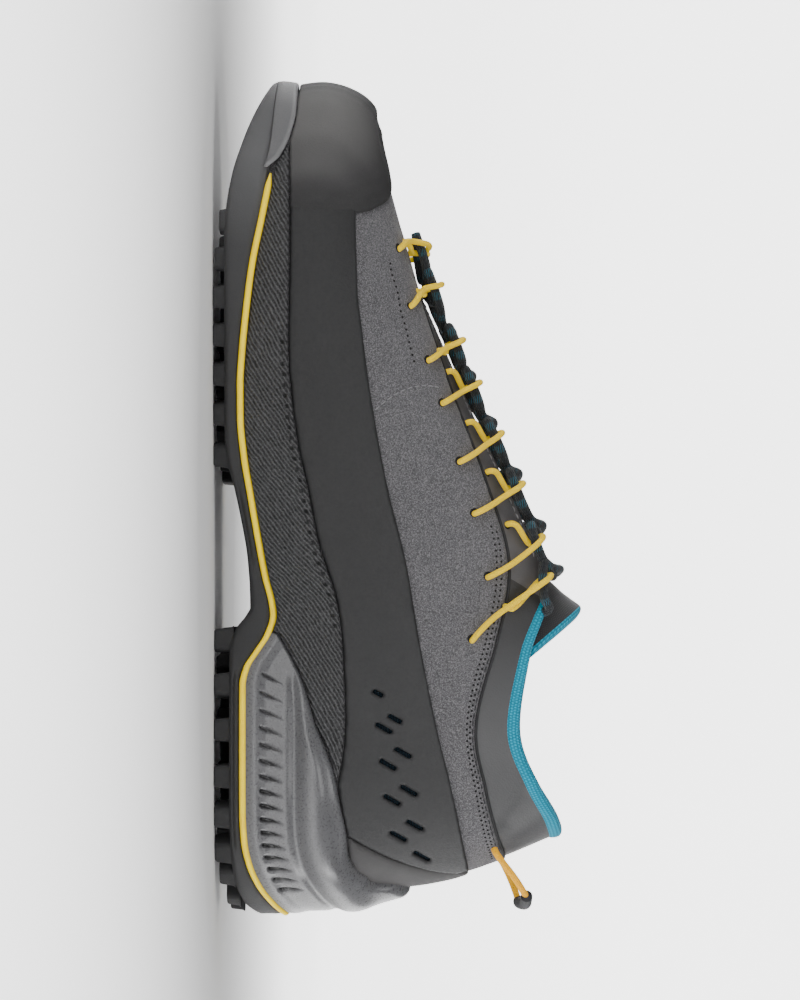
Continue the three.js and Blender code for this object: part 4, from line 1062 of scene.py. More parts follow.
def side_panel(side):
    def inside(u, v):
        p = form(u, v)
        return np.minimum(panel_region(p), slot_distance(p))

    def swell(d, u, v):
        p = form(u, v)
        return CLEARANCE + PANEL_THICKNESS + 0.25 * bell(p[..., 2] - rand_line(p[..., 0]), 2.5, 2)

    name = "side_panel_medial" if side > 0 else "side_panel_lateral"
    skin(name + "_shell", side_range(side, 0.9, 12.0), (0.6, 2.9), 0.62, inside, swell, PANEL,
         [name])

    def behind(u, v):
        p = form(u, v)
        return np.minimum(panel_region(p) - 1, 1.5 - slot_distance(p))

    skin(name + "_slots", side_range(side, 0.9, 5.5), (1.0, 2.9), 1.0, behind, lambda d, u, v: 0.3 + 0 * d,
         SLOT_MESH, skirt=0.4)


def counter():
    def inside(u, v):
        p = form(u, v)
        seat = p[..., 2] - seat_height(p[..., 0]) - CLEARANCE
        return np.minimum.reduce([seat, -above(panel_line, p), seam_line(p[..., 2]) - p[..., 0]])

    def height(d, u, v):
        thin = 1.1 * smooth_step(form(u, v)[..., 2], 66, 88)
        return CLEARANCE + COUNTER_THICKNESS - thin - 0.5 * bell(d, 0, 1.2)

    skin("heel_counter_shell", (-3, 3), (0.8, 3.2), 0.9, inside, height, COUNTER_RUBBER,
         ["heel_counter"])


def cap_distance(p):
    """Distance in front of the toe cap's back edge."""
    y = p[..., 1]
    slope = cap_line(y + 0.5) - cap_line(y - 0.5)
    return (p[..., 0] - cap_line(y)) / np.sqrt(1 + slope ** 2)


def toe_cap():
    def inside(u, v):
        p = form(u, v)
        wrap = np.maximum(above(wrap_line, p) - CLEARANCE, WRAP_START - CLEARANCE - p[..., 0])
        return np.minimum.reduce([above(rand_line, p) - CLEARANCE, cap_distance(p), wrap])

    def height(d, u, v):
        back = cap_distance(form(u, v))
        thin = 0.8 * smooth_step(22 - back, 0, 16)
        return CLEARANCE + TOE_CAP_THICKNESS - thin + 0.6 * bell(back, 3.4, 2.4) - 0.2 * bell(back, 9, 2.4)

    skin("toe_cap_shell", (9, 17), (0.0, 3.9), 0.8, inside, height, TOE_RUBBER, ["toe_cap"],
         lambda u, v: (length_at(u), cap_distance(form(u, v))))


# Sole unit
def toe_wrap():
    """The outsole's rubber turned up over the toe, growing out of the plate's side."""
    def inside(u, v):
        p = form(u, v)
        return np.minimum(-above(wrap_line, p), p[..., 0] - WRAP_START)

    def uv_of(u, v):
        return length_at(u), -above(wrap_line, form(u, v))

    def height(d, u, v):
        p = form(u, v)
        return CLEARANCE + RAND_THICKNESS + 1.8 * smooth_step(7 - p[..., 2] + bead_height(p[..., 0]), 0, 8)

    skin("toe_wrap", (10, 16), (0.0, 1.6), 0.8, inside, height, WRAP_RUBBER, ["outsole"], uv_of)


def plate():
    """The rubber plate's side and underside."""
    us = places(0, STATION_COUNT, 1.2)[:-1]
    x = outline(us)[:, 0]
    top = bead_height(x) - BEAD_THICKNESS / 2
    bottom = plate_bottom(x)
    rows = []
    for inset, share, lift in [(BEAD_WIDTH, 1, 0), (0.8, 1, 0), (0.15, 1, -0.5), (0, 0.75, 0), (0.1, 0.4, 0),
                               (0, 0, 1.6), (0.5, 0, 0.5), (1.6, 0, 0)]:
        rows.append(sole_points(us, inset, bottom + (top - bottom) * share + lift))
    points = np.stack(rows[::-1], axis=1)
    faces = grid_faces(*points.shape[:2], closed=True).tolist()
    flat = points.reshape(-1, 3)
    half = np.linspace(0, LAST_ROW, 130)
    across = np.linspace(0, 1, 26)
    left = sole_points(half, 1.6, plate_bottom(outline(half)[:, 0]))
    right = sole_points(STATION_COUNT - half, 1.6, plate_bottom(outline(STATION_COUNT - half)[:, 0]))
    under = left[:, None] + (right - left)[:, None] * across[None, :, None]
    under_faces = grid_faces(len(half), len(across))[:, ::-1].tolist()
    under = under.reshape(-1, 3)
    build_parts("outsole_plate", [(flat, faces, flat[:, :2]), (under, under_faces, under[:, :2])],
                SOLE_RUBBER, ["outsole"])


LUG_LENGTH = 8.5
LUG_WIDTH = 10.0
LUG_INSET = 6.5
STUD_RADIUS = 5.2
STUD_PITCH = 14.0
LUG_PLACES = table("start end count", [6.9, 9.9, 7], [16.5, 19.3, 7], [1.7, 4.8, 7], [21.3, 24.4, 7],
                   [-0.8, 0.8, 3])
STUD_ROWS = table("along count centre", [0.86, 2, 0.07], [0.80, 3, 0.06], [0.745, 2, 0.03],
                  [0.69, 3, -0.01], [0.635, 4, -0.02], [0.58, 3, -0.03], [0.30, 3, 0], [0.235, 2, 0.01],
                      [0.17, 3, 0.01], [0.105, 2, 0.01])
# A rib along the middle of the heel and of the forefoot: its middle as a share of SOLE_LENGTH, and its length
TREAD_RIBS = [[0.205, 66], [0.675, 84]]
TREAD_RIB_WIDTH = 3.4
TREAD_RIB_FOOT = 0.8


def block(x, y, turn, length, width, foot, top, corner):
    """A lug: a rounded rectangle that narrows towards its foot, with a bevelled foot."""
    count = 6
    angles = np.concatenate([np.linspace(k, k + 1, count) * math.pi / 2 for k in range(4)])
    signs = np.repeat([[1, 1], [-1, 1], [-1, -1], [1, -1]], count, axis=0)
    loops = []
    for share, shrink in [(1.0, -0.5), (0.85, 0.0), (0.12, 0.45), (0.03, 0.75), (0.0, 1.15)]:
        half = np.array([length / 2, width / 2]) - shrink
        ring = signs * (half - corner) + corner * np.stack([np.cos(angles), np.sin(angles)], axis=-1)
        turned = np.stack([x + ring[:, 0] * math.cos(turn) - ring[:, 1] * math.sin(turn),
                           y + ring[:, 0] * math.sin(turn) + ring[:, 1] * math.cos(turn),
                           np.full(len(ring), foot + (top - foot) * share)], axis=-1)
        loops.append(turned)
    points = np.stack(loops)
    size = points.shape[1]
    faces = []
    for i in range(len(loops) - 1):
        for j in range(size):
            k = (j + 1) % size
            faces.append([i * size + j, i * size + k, (i + 1) * size + k, (i + 1) * size + j][::-1])
    faces.append([(len(loops) - 1) * size + j for j in range(size)][::-1])
    flat = points.reshape(-1, 3)
    return flat, faces, flat[:, :2]


def lugs():
    parts = []
    for row in LUG_PLACES:
        for u in np.linspace(row["start"], row["end"], row["count"]):
            at = sole_points(u, LUG_INSET, 0.0)
            along = unit(outline(u + 0.02) - outline(u - 0.02))
            turn = math.atan2(along[1], along[0])
            own_x = float(at[0])
            parts.append(block(own_x, float(at[1]), turn, LUG_LENGTH, LUG_WIDTH, float(tread(own_x)),
                               float(plate_bottom(own_x)) + 1, 1.6))
    for row in STUD_ROWS:
        for i in range(row["count"]):
            x = row["along"] * SOLE_LENGTH
            y = row["centre"] * BALL_WIDTH + (i - (row["count"] - 1) / 2) * STUD_PITCH
            side = STUD_RADIUS * math.sqrt(2)
            parts.append(block(x, y, math.pi / 4, side, side, float(tread(x)),
                               float(plate_bottom(x)) + 1, 1.3))
    for at, length in TREAD_RIBS:
        parts.append(block(at * SOLE_LENGTH, 0, 0, length, TREAD_RIB_WIDTH, TREAD_RIB_FOOT,
                           float(plate_bottom(at * SOLE_LENGTH)) + 1, 1.2))
    build_parts("outsole_lugs", parts, SOLE_RUBBER, ["outsole"])


def bead():
    """The yellow line: a rounded strip that runs round the shoe and ends at the toe wrap."""
    us = places(-11.4, 11.4, 0.9)
    us = us[outline(us)[:, 0] < WRAP_START - CLEARANCE]
    x = outline(us)[:, 0]
    taper = smooth_step(WRAP_START - x, 0, 6) * 0.75 + 0.25
    turns = np.linspace(-math.pi * 0.62, math.pi * 0.62, 13)
    rows = []
    for turn in turns:
        out = BEAD_PROUD - 1.5 + 1.5 * math.cos(turn)
        up = BEAD_THICKNESS / 2 * math.sin(turn)
        rows.append(sole_points(us, -out, bead_height(x) + up * taper))
    points = np.stack(rows, axis=1)
    uv = loop_uv(us, np.linspace(0, BEAD_GIRTH, len(turns)))
    build("sole_bead_strip", points, grid_faces(*points.shape[:2]), BEAD, ["sole_bead"], uv)


CUP_INSETS = [[0, 0.3], [3, 0.15], [8, 1.0], [18, 1.2], [34, 4.0], [56, 10.0]]
RIB_COUNT = 16
# The first rib's distance from the heel, the pitch there and how much it grows from rib to rib
RIB_FIRST = 0.0325 * SOLE_LENGTH
RIB_PITCH = 3.9
RIB_GROWTH = 0.085
RIB_WIDTH = 0.7
RIB_DEPTH = 1.7
RIB_FOOT = 4.8
RIB_HEIGHT = 9.6
RIB_LEAN = 0.5


def rib_depth(x, z, base):
    """How deep the ribs' grooves cut at a place of the cup's side."""
    up = z - base - RIB_FOOT
    foot = x + RIB_LEAN * np.clip((x - 8) / 70, 0, 1) ** 0.7 * up
    root = np.sqrt(np.maximum(RIB_PITCH ** 2 + 4 * RIB_GROWTH * (foot - RIB_FIRST), 0))
    place = (root - RIB_PITCH) / (2 * RIB_GROWTH)
    nearest = np.round(place)
    offset = (place - nearest) * root
    counted = (nearest >= 0) & (nearest < RIB_COUNT)
    span = smooth_step(up, 0, 0.9) * smooth_step(RIB_HEIGHT - up, 0, 6.5)
    bold = 0.65 + 0.35 * smooth_step(85 - x, 0, 45)
    return counted * RIB_DEPTH * bold * span * bell(offset, 0, RIB_WIDTH * (0.5 + 0.5 * span) * bold)


def midsole():
    """The wedge's side with its ribs and the heel cup, rolled in over the upper at its top."""
    front = float(np.interp(CUP_FRONT + 6, outline(np.linspace(0, LAST_ROW, 900))[:, 0],
                            np.linspace(0, LAST_ROW, 900)))
    us = places(-front, front, 0.36)
    x = outline(us)[:, 0]
    low = bead_height(x) + BEAD_THICKNESS * 0.3
    insets = smooth_line(CUP_INSETS, 1, 1)
    stands = x
    for _ in range(4):
        high = np.maximum(np.where(stands < CUP_FRONT, cup_line(stands), low + 0.4), low + 0.4)
        stands = sole_points(us, insets(high - low), high)[:, 0]
    roll = 1.6 + 2.2 * smooth_step(30 - x, 0, 20)
    rows, grooves = [], []
    for t in np.linspace(0, 1, 76):
        z = low + (high - low) * t
        up = z - low
        soft = 0.9 * bell(up, 17.5, 2.2) - 1.3 * bell(up, 25.5, 6.0)
        inset = insets(up) + soft * smooth_step(high - z, 0, 6)
        cut = rib_depth(x, z, low)
        rows.append(sole_points(us, inset + drawn_in(high - z, roll) + cut, z))
        grooves.append(cut / RIB_DEPTH)
    for inward in (3.5, 8.0):
        rows.append(sole_points(us, insets(high - low) + roll + inward, high - 0.1 * inward))
        grooves.append(0 * x)
    points = np.stack(rows, axis=1)
    build("midsole_cup", points, grid_faces(*points.shape[:2]), FOAM, ["midsole"],
          loop_uv(us, points[..., 2]), np.stack(grooves, axis=1))


def insole():
    """The footbed's cloth, dished a little at its edge."""
    half = np.linspace(0.01, LAST_ROW - 0.01, 150)
    climb_steps = np.linspace(0.02, 2.2, 220)

    def edge(u):
        grid_u, grid_v = np.meshgrid(u, climb_steps, indexing="ij")
        wall = surface(grid_u, grid_v, -WALL - 2 * CLEARANCE)
        want = footbed(wall[..., 0]) + CLEARANCE + INSOLE_THICKNESS
        first = np.argmax(wall[..., 2] > want, axis=1)
        return wall[np.arange(len(u)), first]

    left, right = edge(half), edge(STATION_COUNT - half)
    share = np.linspace(0, 1, 41)
    points = left[:, None] + (right - left)[:, None] * share[None, :, None]
    points[..., 2] = footbed(points[..., 0]) + CLEARANCE + INSOLE_THICKNESS
    points[..., 2] += 1.6 * np.abs(2 * share - 1) ** 5 - 0.5
    build("insole_cloth", points, grid_faces(*points.shape[:2]), INSOLE_CLOTH, ["insole"],
          points[..., :2])


# Tongue: its middle line from the throat's front to its tip, with half its width and its arch
TONGUE_THICKNESS = 4.0
TONGUE_LINE = table("along up centre half drop", [0.800, 0.520, 0.090, 0.09, 0.010],
                    [0.755, 0.575, 0.062, 0.13, 0.020], [0.715, 0.620, 0.045, 0.165, 0.035],
                    [0.660, 0.683, 0.022, 0.20, 0.052], [0.600, 0.757, 0.012, 0.225, 0.068],
                    [0.540, 0.826, 0.012, 0.225, 0.075], [0.480, 0.893, 0.016, 0.215, 0.085],
                    [0.425, 0.965, 0.022, 0.210, 0.115], [0.390, 1.040, 0.026, 0.210, 0.165],
                    [0.367, 1.118, 0.028, 0.208, 0.205])
# The way in which the tongue's sides fall off from its middle line
TONGUE_FALL = np.array([-0.62, 0, -0.78])
TONGUE_SWELL = 1.8
TIP_ROUND = 0.28
THROAT_MARGIN = 0.9
TONGUE_SEAM = 7.35
TONGUE_ROWS = len(TONGUE_LINE) - 1


def tongue_value(s, name):
    return np.interp(s, np.arange(TONGUE_ROWS + 1), [row[name] for row in TONGUE_LINE])


def tongue_middle(s):
    rows = np.array([[row["along"] * SOLE_LENGTH, row["centre"] * BALL_WIDTH, row["up"] * INSTEP_HEIGHT]
                     for row in TONGUE_LINE])
    rows = np.concatenate([rows[:1], rows, rows[-1:]])
    first = np.clip(np.floor(s).astype(int), 0, TONGUE_ROWS - 1)
    weights = catmull_weights(s - first)
    return sum(weights[k][..., None] * rows[first + k] for k in range(4))


THROAT_PLACES = np.linspace(3, 12.9, 240)


def kept_in_throat(points):
    """Moves points that stand outside the throat's and collar's inner faces in to them."""
    points = points.copy()
    for side in (1, -1):
        u = on_loop(THROAT_PLACES, side)
        edge, inner = form(u, TOP), surface(u, TOP, -wall_at(u, TOP))
        reach = np.interp(points[..., 0], edge[:, 0], side * inner[:, 1]) - THROAT_MARGIN
        under = np.interp(points[..., 0], edge[:, 0], edge[:, 2]) - 3 - points[..., 2]
        limit = reach + np.maximum(under, 0)
        out = side * points[..., 1]
        points[..., 1] = np.where((out > 0) & (out > limit), side * limit, points[..., 1])
    return points


def tongue_points(s, side, depth):
    """Points of the tongue: s counts rows from its front, side runs from -1 to 1, depth goes down into it."""
    s, side, depth = np.broadcast_arrays(s, side, depth)
    step = 0.15
    ahead = tongue_middle(np.minimum(s + step, TONGUE_ROWS))
    behind = tongue_middle(np.maximum(s - step, 0))
    slope = unit(ahead - behind)
    up = np.stack([-slope[..., 2], 0 * s, slope[..., 0]], axis=-1)
    up = unit(up * np.where(up[..., 2:] < 0, -1, 1))
    fall = tongue_value(s, "drop") * BALL_WIDTH * side ** 2
    points = tongue_middle(s) + TONGUE_FALL * fall[..., None] - up * depth[..., None]
    points[..., 1] += side * tongue_value(s, "half") * BALL_WIDTH
    return kept_in_throat(points)


def tongue():
    """A padded tongue: cloth on top, teal knit round its tip and on its back."""
    end = np.sin(np.linspace(0, math.pi / 2, 18))
    s = np.concatenate([np.linspace(0.6, TONGUE_ROWS - TIP_ROUND, 120)[:-1],
                        TONGUE_ROWS - TIP_ROUND * (1 - end)])
    around = np.linspace(0, 2 * math.pi, 121)
    side = np.clip(1.35 * np.sin(around), -1, 1)
    side = np.sign(side) * (1 - (1 - np.abs(side)) ** 1.3)
    grid_s, grid_side = np.meshgrid(s, side, indexing="ij")
    thick = TONGUE_THICKNESS + TONGUE_SWELL * smooth_step(grid_s, 7.0, 8.4)
    face = np.tanh(2.6 * np.cos(around)) / math.tanh(2.6)
    closing = np.clip((grid_s - TONGUE_ROWS + TIP_ROUND) / TIP_ROUND, 0, 0.9995)
    puff = 0.8 * (1 - grid_side ** 2) * smooth_step(grid_s, 6.6, 8.0)
    seam = 0.8 * bell(grid_s, TONGUE_SEAM + 0.5 * grid_side ** 2, 0.07)
    on_top = face > 0
    depth = thick / 2 - thick / 2 * face * np.sqrt(1 - closing ** 2) + np.where(on_top, seam - puff, 0)
    points = tongue_points(grid_s, grid_side, depth)
    run, girth = run_lengths(points[:, 0]), run_lengths(points[60])
    uv = np.stack(np.broadcast_arrays(girth[None], run[:, None]), axis=-1)
    faces = grid_faces(*points.shape[:2])[:, ::-1].tolist()
    columns = points.shape[1] - 1
    middle = (around[:-1] + around[1:]) / 2
    back = np.tile(np.cos(middle) < -0.15, len(s) - 1)
    teal = back | np.repeat(s[:-1] > TONGUE_ROWS - TIP_ROUND * 0.8, columns)
    for row in (0, len(s) - 1):
        cap = [row * points.shape[1] + k for k in range(columns)]
        faces.append(cap if row == 0 else cap[::-1])
    material = np.concatenate([teal, [False, True]]).astype(int)
    piece = build("tongue_pad", points, faces, [TONGUE_CLOTH, TEAL_KNIT], ["tongue"], uv)
    piece.data.polygons.foreach_set("material_index", material)


# How high the five points of a stitch lie, from end to end
STITCH_ARCH = np.array([-0.25, 0.1, 0.16, 0.1, -0.25])


def stitched(line, length, gap, thickness, up_at):
    """Thread stitches laid end to end along a line; up_at(at, run) is the way up at a length along it."""
    run = run_lengths(line)
    parts = []
    for start in np.arange(0, run[-1] - length, length + gap):
        at = start + length * np.array([0, 0.25, 0.5, 0.75, 1])
        path = np.stack([np.interp(at, run, line[:, k]) for k in range(3)], axis=-1)
        parts.append(tube(path + STITCH_ARCH[:, None] * up_at(at[2], run), thickness, 6))
    return parts


def tongue_stitches():
    """A row of light stitches along the tongue's seam."""
    side = np.linspace(-0.85, 0.85, 400)
    line = tongue_points(TONGUE_SEAM + 0.5 * side ** 2, side, 0.45 - 0.8 * (1 - side ** 2) * 0.5)
    parts = stitched(line, 1.8, 0.9, 0.45, lambda at, run: np.array([0, 0, 1]))
    build_parts("tongue_stitches", parts, THREAD_GREY)


# Laces: rows from the toe to the top. A lace turns at u and lace. Its cord loop comes out of the hole at
# outer and hole. It goes back in at inner, a step back towards the toe, or, where back is 0, under its own
# first leg.
LACE_ROWS = table("u lace outer hole inner back", [11, 3.67, 10.05, 2.95, 3.42, 0],
                  [10, 3.68, 9.15, 2.9, 3.4, 0], [8.95, 3.77, 8.4, 2.96, 3.46, 0],
                  [8.3, 3.78, 7.83, 2.96, 3.5, 0.14], [7.6, 3.78, 7.07, 2.87, 3.48, 0.14],
                  [6.98, 3.76, 6.45, 2.86, 3.46, 0.14], [6.36, 3.76, 5.72, 2.98, 3.46, 0.14],
                  [5.95, 3.82, 4.95, 2.92, 3.45, 0])
LACE_LIFT = LOOP_CORD_DIAMETER + LACE_DIAMETER / 2 + 2 * CLEARANCE
LACE_TURN = 12.0
LACE_ARCH = 2.2
# The share of that arch which the crossings lose towards the toe
FLATTER_AT_TOE = 0.8
RIM_SHARE = 0.36
RIM_RISE = 0.5


def offset_point(u, v, distance):
    return form(u, v) + form_normal(u, v) * distance


def lace_node(row, side):
    return offset_point(on_loop(row["u"], side), row["lace"], LACE_LIFT)


def lace_turn(row, side):
    """The two bends where a lace turns in a loop, the one nearer the toe first."""
    node = lace_node(row, side)
    ahead = form(on_loop(row["u"] + 0.05, side), row["lace"])
    behind = form(on_loop(row["u"] - 0.05, side), row["lace"])
    along = unit(ahead - behind) * LACE_TURN / 2
    return [node + along, node - along]


def lace_rim(row, following, side):
    """Where a lace passes over the throat's edge, on its way to another row."""
    place = row["u"] + (following["u"] - row["u"]) * RIM_SHARE
    return form(on_loop(place, side), TOP) + [0, 0, LACE_DIAMETER / 2 + RIM_RISE]


def lace_middle(row, following, side, lift):
    a, b = lace_rim(row, following, side), lace_rim(following, row, -side)
    return (a + b) / 2 + [0, 0, LACE_ARCH + lift]


def lace_end(row, side):
    """Past its top loop a lace goes over the throat's edge and down between tongue and collar."""
    rim = form(on_loop(row["u"] - 0.3, side), TOP) + [0, 0, LACE_DIAMETER / 2 + 0.4]
    deeper = []
    for back, v in ((0.42, 3.82), (0.5, 2.9), (0.52, 3.2)):
        u = on_loop(row["u"] - back, side)
        deeper.append(form(u, v) - form_normal(u, v) * (wall_at(u, v) + LACE_DIAMETER / 2 + 0.3))
    return [rim] + deeper


def lace_path(first_side):
    points = []
    for i, row in enumerate(LACE_ROWS):
        side = first_side if i % 2 == 0 else -first_side
        points += lace_turn(row, side)
        if i == len(LACE_ROWS) - 1:
            return points + lace_end(row, side)
        following = LACE_ROWS[i + 1]
        over = LACE_DIAMETER * (0.5 if side > 0 else -0.35)
        over -= LACE_ARCH * FLATTER_AT_TOE * (1 - i / (len(LACE_ROWS) - 2))
        points += [lace_rim(row, following, side), lace_middle(row, following, side, over),
                   lace_rim(following, row, -side)]


def laces():
    front, second = LACE_ROWS[:2]
    beyond = {"u": 2 * front["u"] - second["u"]}
    left, right = ([lace_turn(front, side)[0], lace_rim(front, beyond, side)] for side in (1, -1))
    middle = (left[1] + right[1]) / 2 + [0, 0, LACE_ARCH * (1 - FLATTER_AT_TOE)]
    paths = [lace_path(1), lace_path(-1), [left[0], left[1], middle, right[1], right[0]]]
    parts = [tube(curve_through(path, 1.2), LACE_DIAMETER * 0.97, 14, 0.92) for path in paths]
    build_parts("lace_cords", parts, LACE_BRAID, ["lace"])


def loop_place(row, share):
    """A place on the straight way from a loop's outer hole to its lace."""
    return row["outer"] + (row["u"] - row["outer"]) * share, row["hole"] + (row["lace"] - row["hole"]) * share


def inner_hole(row):
    return (row["u"] + row["back"], row["inner"]) if row["back"] else loop_place(row, 0.5)


def loop_path(row, side):
    """An eyelet loop: up out of its outer hole, over the lace, round it, and down its inner hole."""
    rest = LOOP_CORD_DIAMETER / 2 + CLEARANCE
    node = lace_node(row, side)
    normal = form_normal(on_loop(row["u"], side), row["lace"])
    reach = LACE_DIAMETER / 2 + LOOP_CORD_DIAMETER / 2 + CLEARANCE

    def rising(share, lift):
        u, v = loop_place(row, share)
        return offset_point(on_loop(u, side), v, rest + lift)

    onward = rising(0.9, 0) - rising(0.5, 0)
    onward = unit(onward - normal * (onward @ normal))

    def beside(out, up):
        return node + onward * out * reach + normal * up * reach

    hole_u, hole_v = inner_hole(row)
    hole_u = on_loop(hole_u, side)
    return [rising(-0.04, -3.2), rising(-0.01, -0.9), rising(0.08, 0.1), rising(0.3, 0.5), rising(0.6, 1.3),
            beside(-0.95, 0.8), beside(0, 1), beside(0.75, 0.55), beside(0.85, -0.35), beside(0.1, -1),
            offset_point(hole_u, hole_v + 0.08, rest + 0.2), offset_point(hole_u, hole_v, rest - 0.5),
            offset_point(hole_u, hole_v - 0.02, -2.2)]


def disc(u, v, distance, radius, sides=16):
    """A small round spot that lies on the upper."""
    centre, normal = surface(u, v, distance), form_normal(u, v)
    across = unit(np.cross(normal, [0.2, 0.3, 0.93]))
    other = np.cross(normal, across)
    turn = np.linspace(0, 2 * math.pi, sides, endpoint=False)[:, None]
    ring = np.cos(turn) * across + np.sin(turn) * other
    points = np.concatenate([centre + radius * ring, centre + 1.25 * radius * ring - 0.15 * normal])
    faces = [[k for k in range(sides)]]
    faces += [[k, sides + k, sides + (k + 1) % sides, (k + 1) % sides] for k in range(sides)]
    return points, faces, points[:, :2]


def loops():
    holes = []
    for i, row in enumerate(LACE_ROWS):
        for side, name in ((1, "medial"), (-1, "lateral")):
            path = curve_through(loop_path(row, side), 0.6)
            build_parts(f"eyelet_loop_{name}_{i + 1}", [tube(path, LOOP_CORD_DIAMETER, 12)], LOOP_BRAID,
                        [f"loop_{name}_{i + 1}"])
            holes.append(disc(on_loop(row["outer"], side), row["hole"] - 0.02, 0.08, 1.4))
            hole_u, hole_v = inner_hole(row)
            holes.append(disc(on_loop(hole_u, side), hole_v, 0.08 - EYESTAY_STEP, 1.3))
    build_parts("eyelet_holes", holes, HOLE_SHADE)


# Heel pull loop
PULL_ANCHOR = 1.45
PULL_HEIGHT = 2.92
PULL_END = np.array([0.012 * SOLE_LENGTH, 0.02 * BALL_WIDTH, 0.915 * COLLAR_HEIGHT])
SLEEVE_HALF = 13.0
# How far the sleeve's big-toe end stands ahead of and above its middle
SLEEVE_TWIST = 2.0


def pull_points(side):
    anchor = offset_point(on_loop(PULL_ANCHOR, side), PULL_HEIGHT, PULL_CORD_DIAMETER / 2 + CLEARANCE)
    corner = PULL_END + [1.5 + side * SLEEVE_TWIST, side * SLEEVE_HALF, -0.8 + side * SLEEVE_TWIST / 2]
    middle = anchor + (corner - anchor) * 0.55 + [-0.5, side * 1.8, 0.8]
    return anchor, middle, corner


def pull_loop():
    for side, name in ((1, "medial"), (-1, "lateral")):
        anchor, middle, corner = pull_points(side)
        inside = offset_point(on_loop(PULL_ANCHOR, side), PULL_HEIGHT, -2.0)
        path = curve_through([inside, anchor, middle, corner], 0.6)
        build_parts(f"pull_loop_{name}", [tube(path, PULL_CORD_DIAMETER, 12)], PULL_BRAID,
                    [f"pull_cord_{name}"])
    left, right = pull_points(-1)[2], pull_points(1)[2]
    path = curve_through([left + [0.4, -1.2, 0], left, PULL_END, right, right + [0.4, 1.2, 0]], 0.7)
    build_parts("pull_loop_sleeve", [tube(path, SLEEVE_DIAMETER, 16)], SLEEVE_RUBBER, ["pull_sleeve"])


# Stitches, perforations and seams
def stitch_row(us, vs, distance, length, gap, thickness):
    """Thread stitches along a line on the upper."""
    return stitched(surface(us, vs, distance), length, gap, thickness,
                    lambda at, run: form_normal(np.interp(at, run, us), np.interp(at, run, vs)))


def both_sides(make):
    return [part for side in (1, -1) for part in make(side)]


def stitches():
    def eyestay(side):
        u = np.linspace(6.3, 11.9, 300)
        edge_v = TOP - 2.2 / climb(u, 3.9)
        return stitch_row(on_loop(u, side), edge_v, -EYESTAY_STEP + 0.05, 2.0, 0.9, 0.5)

    def vamp_seam(side):
        v = np.linspace(1.9, 3.1, 60)
        u = 7.55 + 0.5 * (v - 1.9) / 1.2 + 0.12 * np.sin(math.pi * (v - 1.9) / 1.2)
        return stitch_row(on_loop(u, side), v, 0.05, 1.9, 0.9, 0.45)

    def collar(side):
        u = np.linspace(0.15, 5.5, 320)
        return stitch_row(on_loop(u, side), suede_end(u) - 1.3 / STEP_LENGTH, 0.02, 1.9, 0.9, 0.45)

    build_parts("eyestay_stitches", both_sides(eyestay), THREAD_GREY)
    build_parts("vamp_stitches", both_sides(vamp_seam), THREAD_GREY)
    build_parts("collar_stitches", both_sides(collar), DARK_THREAD_AND_EDGE_SHADOW)


def perforations():
    """A double row of pin holes under the collar panel, and a short line of them on the vamp."""
    holes = []
    for side in (1, -1):
        for row, drop in enumerate((3.0, 5.0)):
            for u in places(0.9, 6.3, 2.1) + 0.04 * row:
                v = float(suede_end(on_loop(u, side))) - drop / STEP_LENGTH
                holes.append(disc(on_loop(u, side), v, 0.1, 0.37, 6))
        for t in np.linspace(0, 1, 17):
            holes.append(disc(on_loop(9.65 - 1.35 * t, side), 2.6 + 0.06 * t, 0.1, 0.4, 6))
    build_parts("pin_holes", holes, HOLE_SHADE)


def suede_edge_shadow_line():
    """A dark cord where the suede ends on the eyestay and collar panel: a painted shadow line along the
    suede's step.
    """
    u = places(0, STATION_COUNT, 1.2)[:-1]
    path = surface(u, suede_end(u) + 0.035, -0.45)
    path = np.concatenate([path, path[:2]])
    build_parts("suede_edge_shadow", [tube(path, 1.0, 8)], DARK_THREAD_AND_EDGE_SHADOW)


# Studio: floor, light and camera
CAMERA_DISTANCE = 1.7
# How much of the picture's height the shoe's length takes
LENGTH_SHARE = 0.83
SENSOR = 36.0
# The backdrop's profile: distance from the middle and height, in metres
BACKDROP = [[0.0, 0.0], [0.4, 0.0], [1.0, 0.0], [1.8, 0.0], [2.3, 0.0], [2.6, 0.03], [2.8, 0.12], [2.9, 0.28],
            [2.93, 0.68]]
BACKDROP_SIDES = 96
# The floor's own light starts at GLOW_START metres from the middle, and levels off about GLOW_END metres
# further out
GLOW = 3.0
GLOW_START = 0.16
GLOW_END = 0.9
GLOW_SOFTNESS = 0.3
SKY = 0.12
LIGHTS = table("name place target size power",
               ["key", (-0.2, 0.95, 0.85), (0, 0, 0.05), 0.5, 3.5],
               ["top", (0.1, -0.3, 1.2), (0, 0, 0.05), 0.9, 2.0],
               ["heel_side", (-0.8, 0.22, 0.3), (-0.1, 0, 0.04), 0.2, 1.8],
               ["toe_side", (0.85, 0.3, 0.3), (0.1, 0, 0.03), 0.3, 1.1])


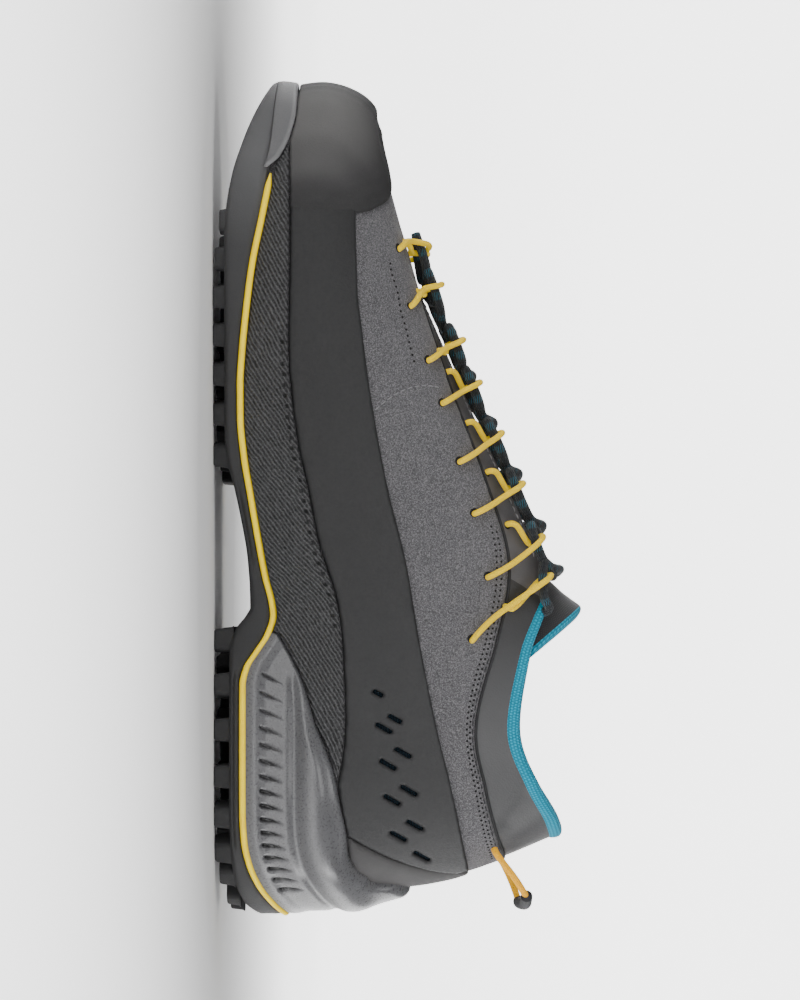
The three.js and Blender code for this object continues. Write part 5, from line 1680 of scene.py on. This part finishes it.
def studio():
    """A pale floor that curves up into a low wall all round, and glows more the further away it is."""
    turn = np.linspace(0, 2 * math.pi, BACKDROP_SIDES, endpoint=False)
    points = [[radius * math.cos(a), radius * math.sin(a), height]
              for a in turn for radius, height in BACKDROP]
    mesh = bpy.data.meshes.new("floor")
    faces = grid_faces(BACKDROP_SIDES, len(BACKDROP), closed=True)[:, ::-1]
    mesh.from_pydata(points, [], faces.tolist())
    mesh.shade_smooth()
    f = Finish("floor_paper", Roughness=0.9)
    f.colour(f.ramp(f.noise(3), (0.3, "f4f4f4"), (0.7, "fbfbfb")))
    away = f.node("VectorMath", {"operation": "LENGTH"}, output="Value", Vector=f.place)
    beyond = f.math("MAXIMUM", f.math("SUBTRACT", away, GLOW_START), 0.0)
    glow = f.math("MULTIPLY", f.math("SMOOTH_MIN", beyond, GLOW_END, GLOW_SOFTNESS), GLOW)
    f.fill(f.shader, {"Emission Color": (1, 1, 1, 1), "Emission Strength": glow})
    mesh.materials.append(f.material)
    floor = bpy.data.objects.new("floor", mesh)
    bpy.context.scene.collection.objects.link(floor)
    world = bpy.data.worlds.new("studio")
    bpy.context.scene.world = world
    world.use_nodes = True
    world.node_tree.nodes["Background"].inputs["Color"].default_value = (1, 1, 1, 1)
    world.node_tree.nodes["Background"].inputs["Strength"].default_value = SKY


def area_light(name, place, target, size, power):
    light = bpy.data.lights.new(name, "AREA")
    light.size = size
    light.energy = power
    lamp = bpy.data.objects.new(name, light)
    bpy.context.scene.collection.objects.link(lamp)
    lamp.location = place
    lamp.rotation_mode = "QUATERNION"
    lamp.rotation_quaternion = Vector(np.subtract(target, place)).to_track_quat("-Z", "Y")


def lights():
    for row in LIGHTS:
        area_light(**row)


def camera():
    """Looks level across the shoe from its big-toe side, rolled so that the toe points up."""
    low, high = CAD_BOX
    middle = (Vector(low) + Vector(high)) / 2
    data = bpy.data.cameras.new("camera")
    data.sensor_width = SENSOR
    data.lens = SENSOR * CAMERA_DISTANCE * LENGTH_SHARE / (high[0] - low[0])
    eye = Vector((middle.x, middle.y + CAMERA_DISTANCE, middle.z))
    back = Vector((0, 1, 0))
    up = Vector((1, 0, 0))
    right = up.cross(back)
    view = bpy.data.objects.new("camera", data)
    bpy.context.scene.collection.objects.link(view)
    view.matrix_world = Matrix.Translation(eye) @ Matrix((right, up, back)).transposed().to_4x4()
    bpy.context.scene.camera = view


camera()
studio()
lights()
suede()
collar_panel()
lining()
for side in (1, -1):
    rand(side)
    side_panel(side)
counter()
toe_cap()
toe_wrap()
plate()
lugs()
bead()
midsole()
insole()
tongue()
tongue_stitches()
laces()
loops()
pull_loop()
stitches()
perforations()
suede_edge_shadow_line()
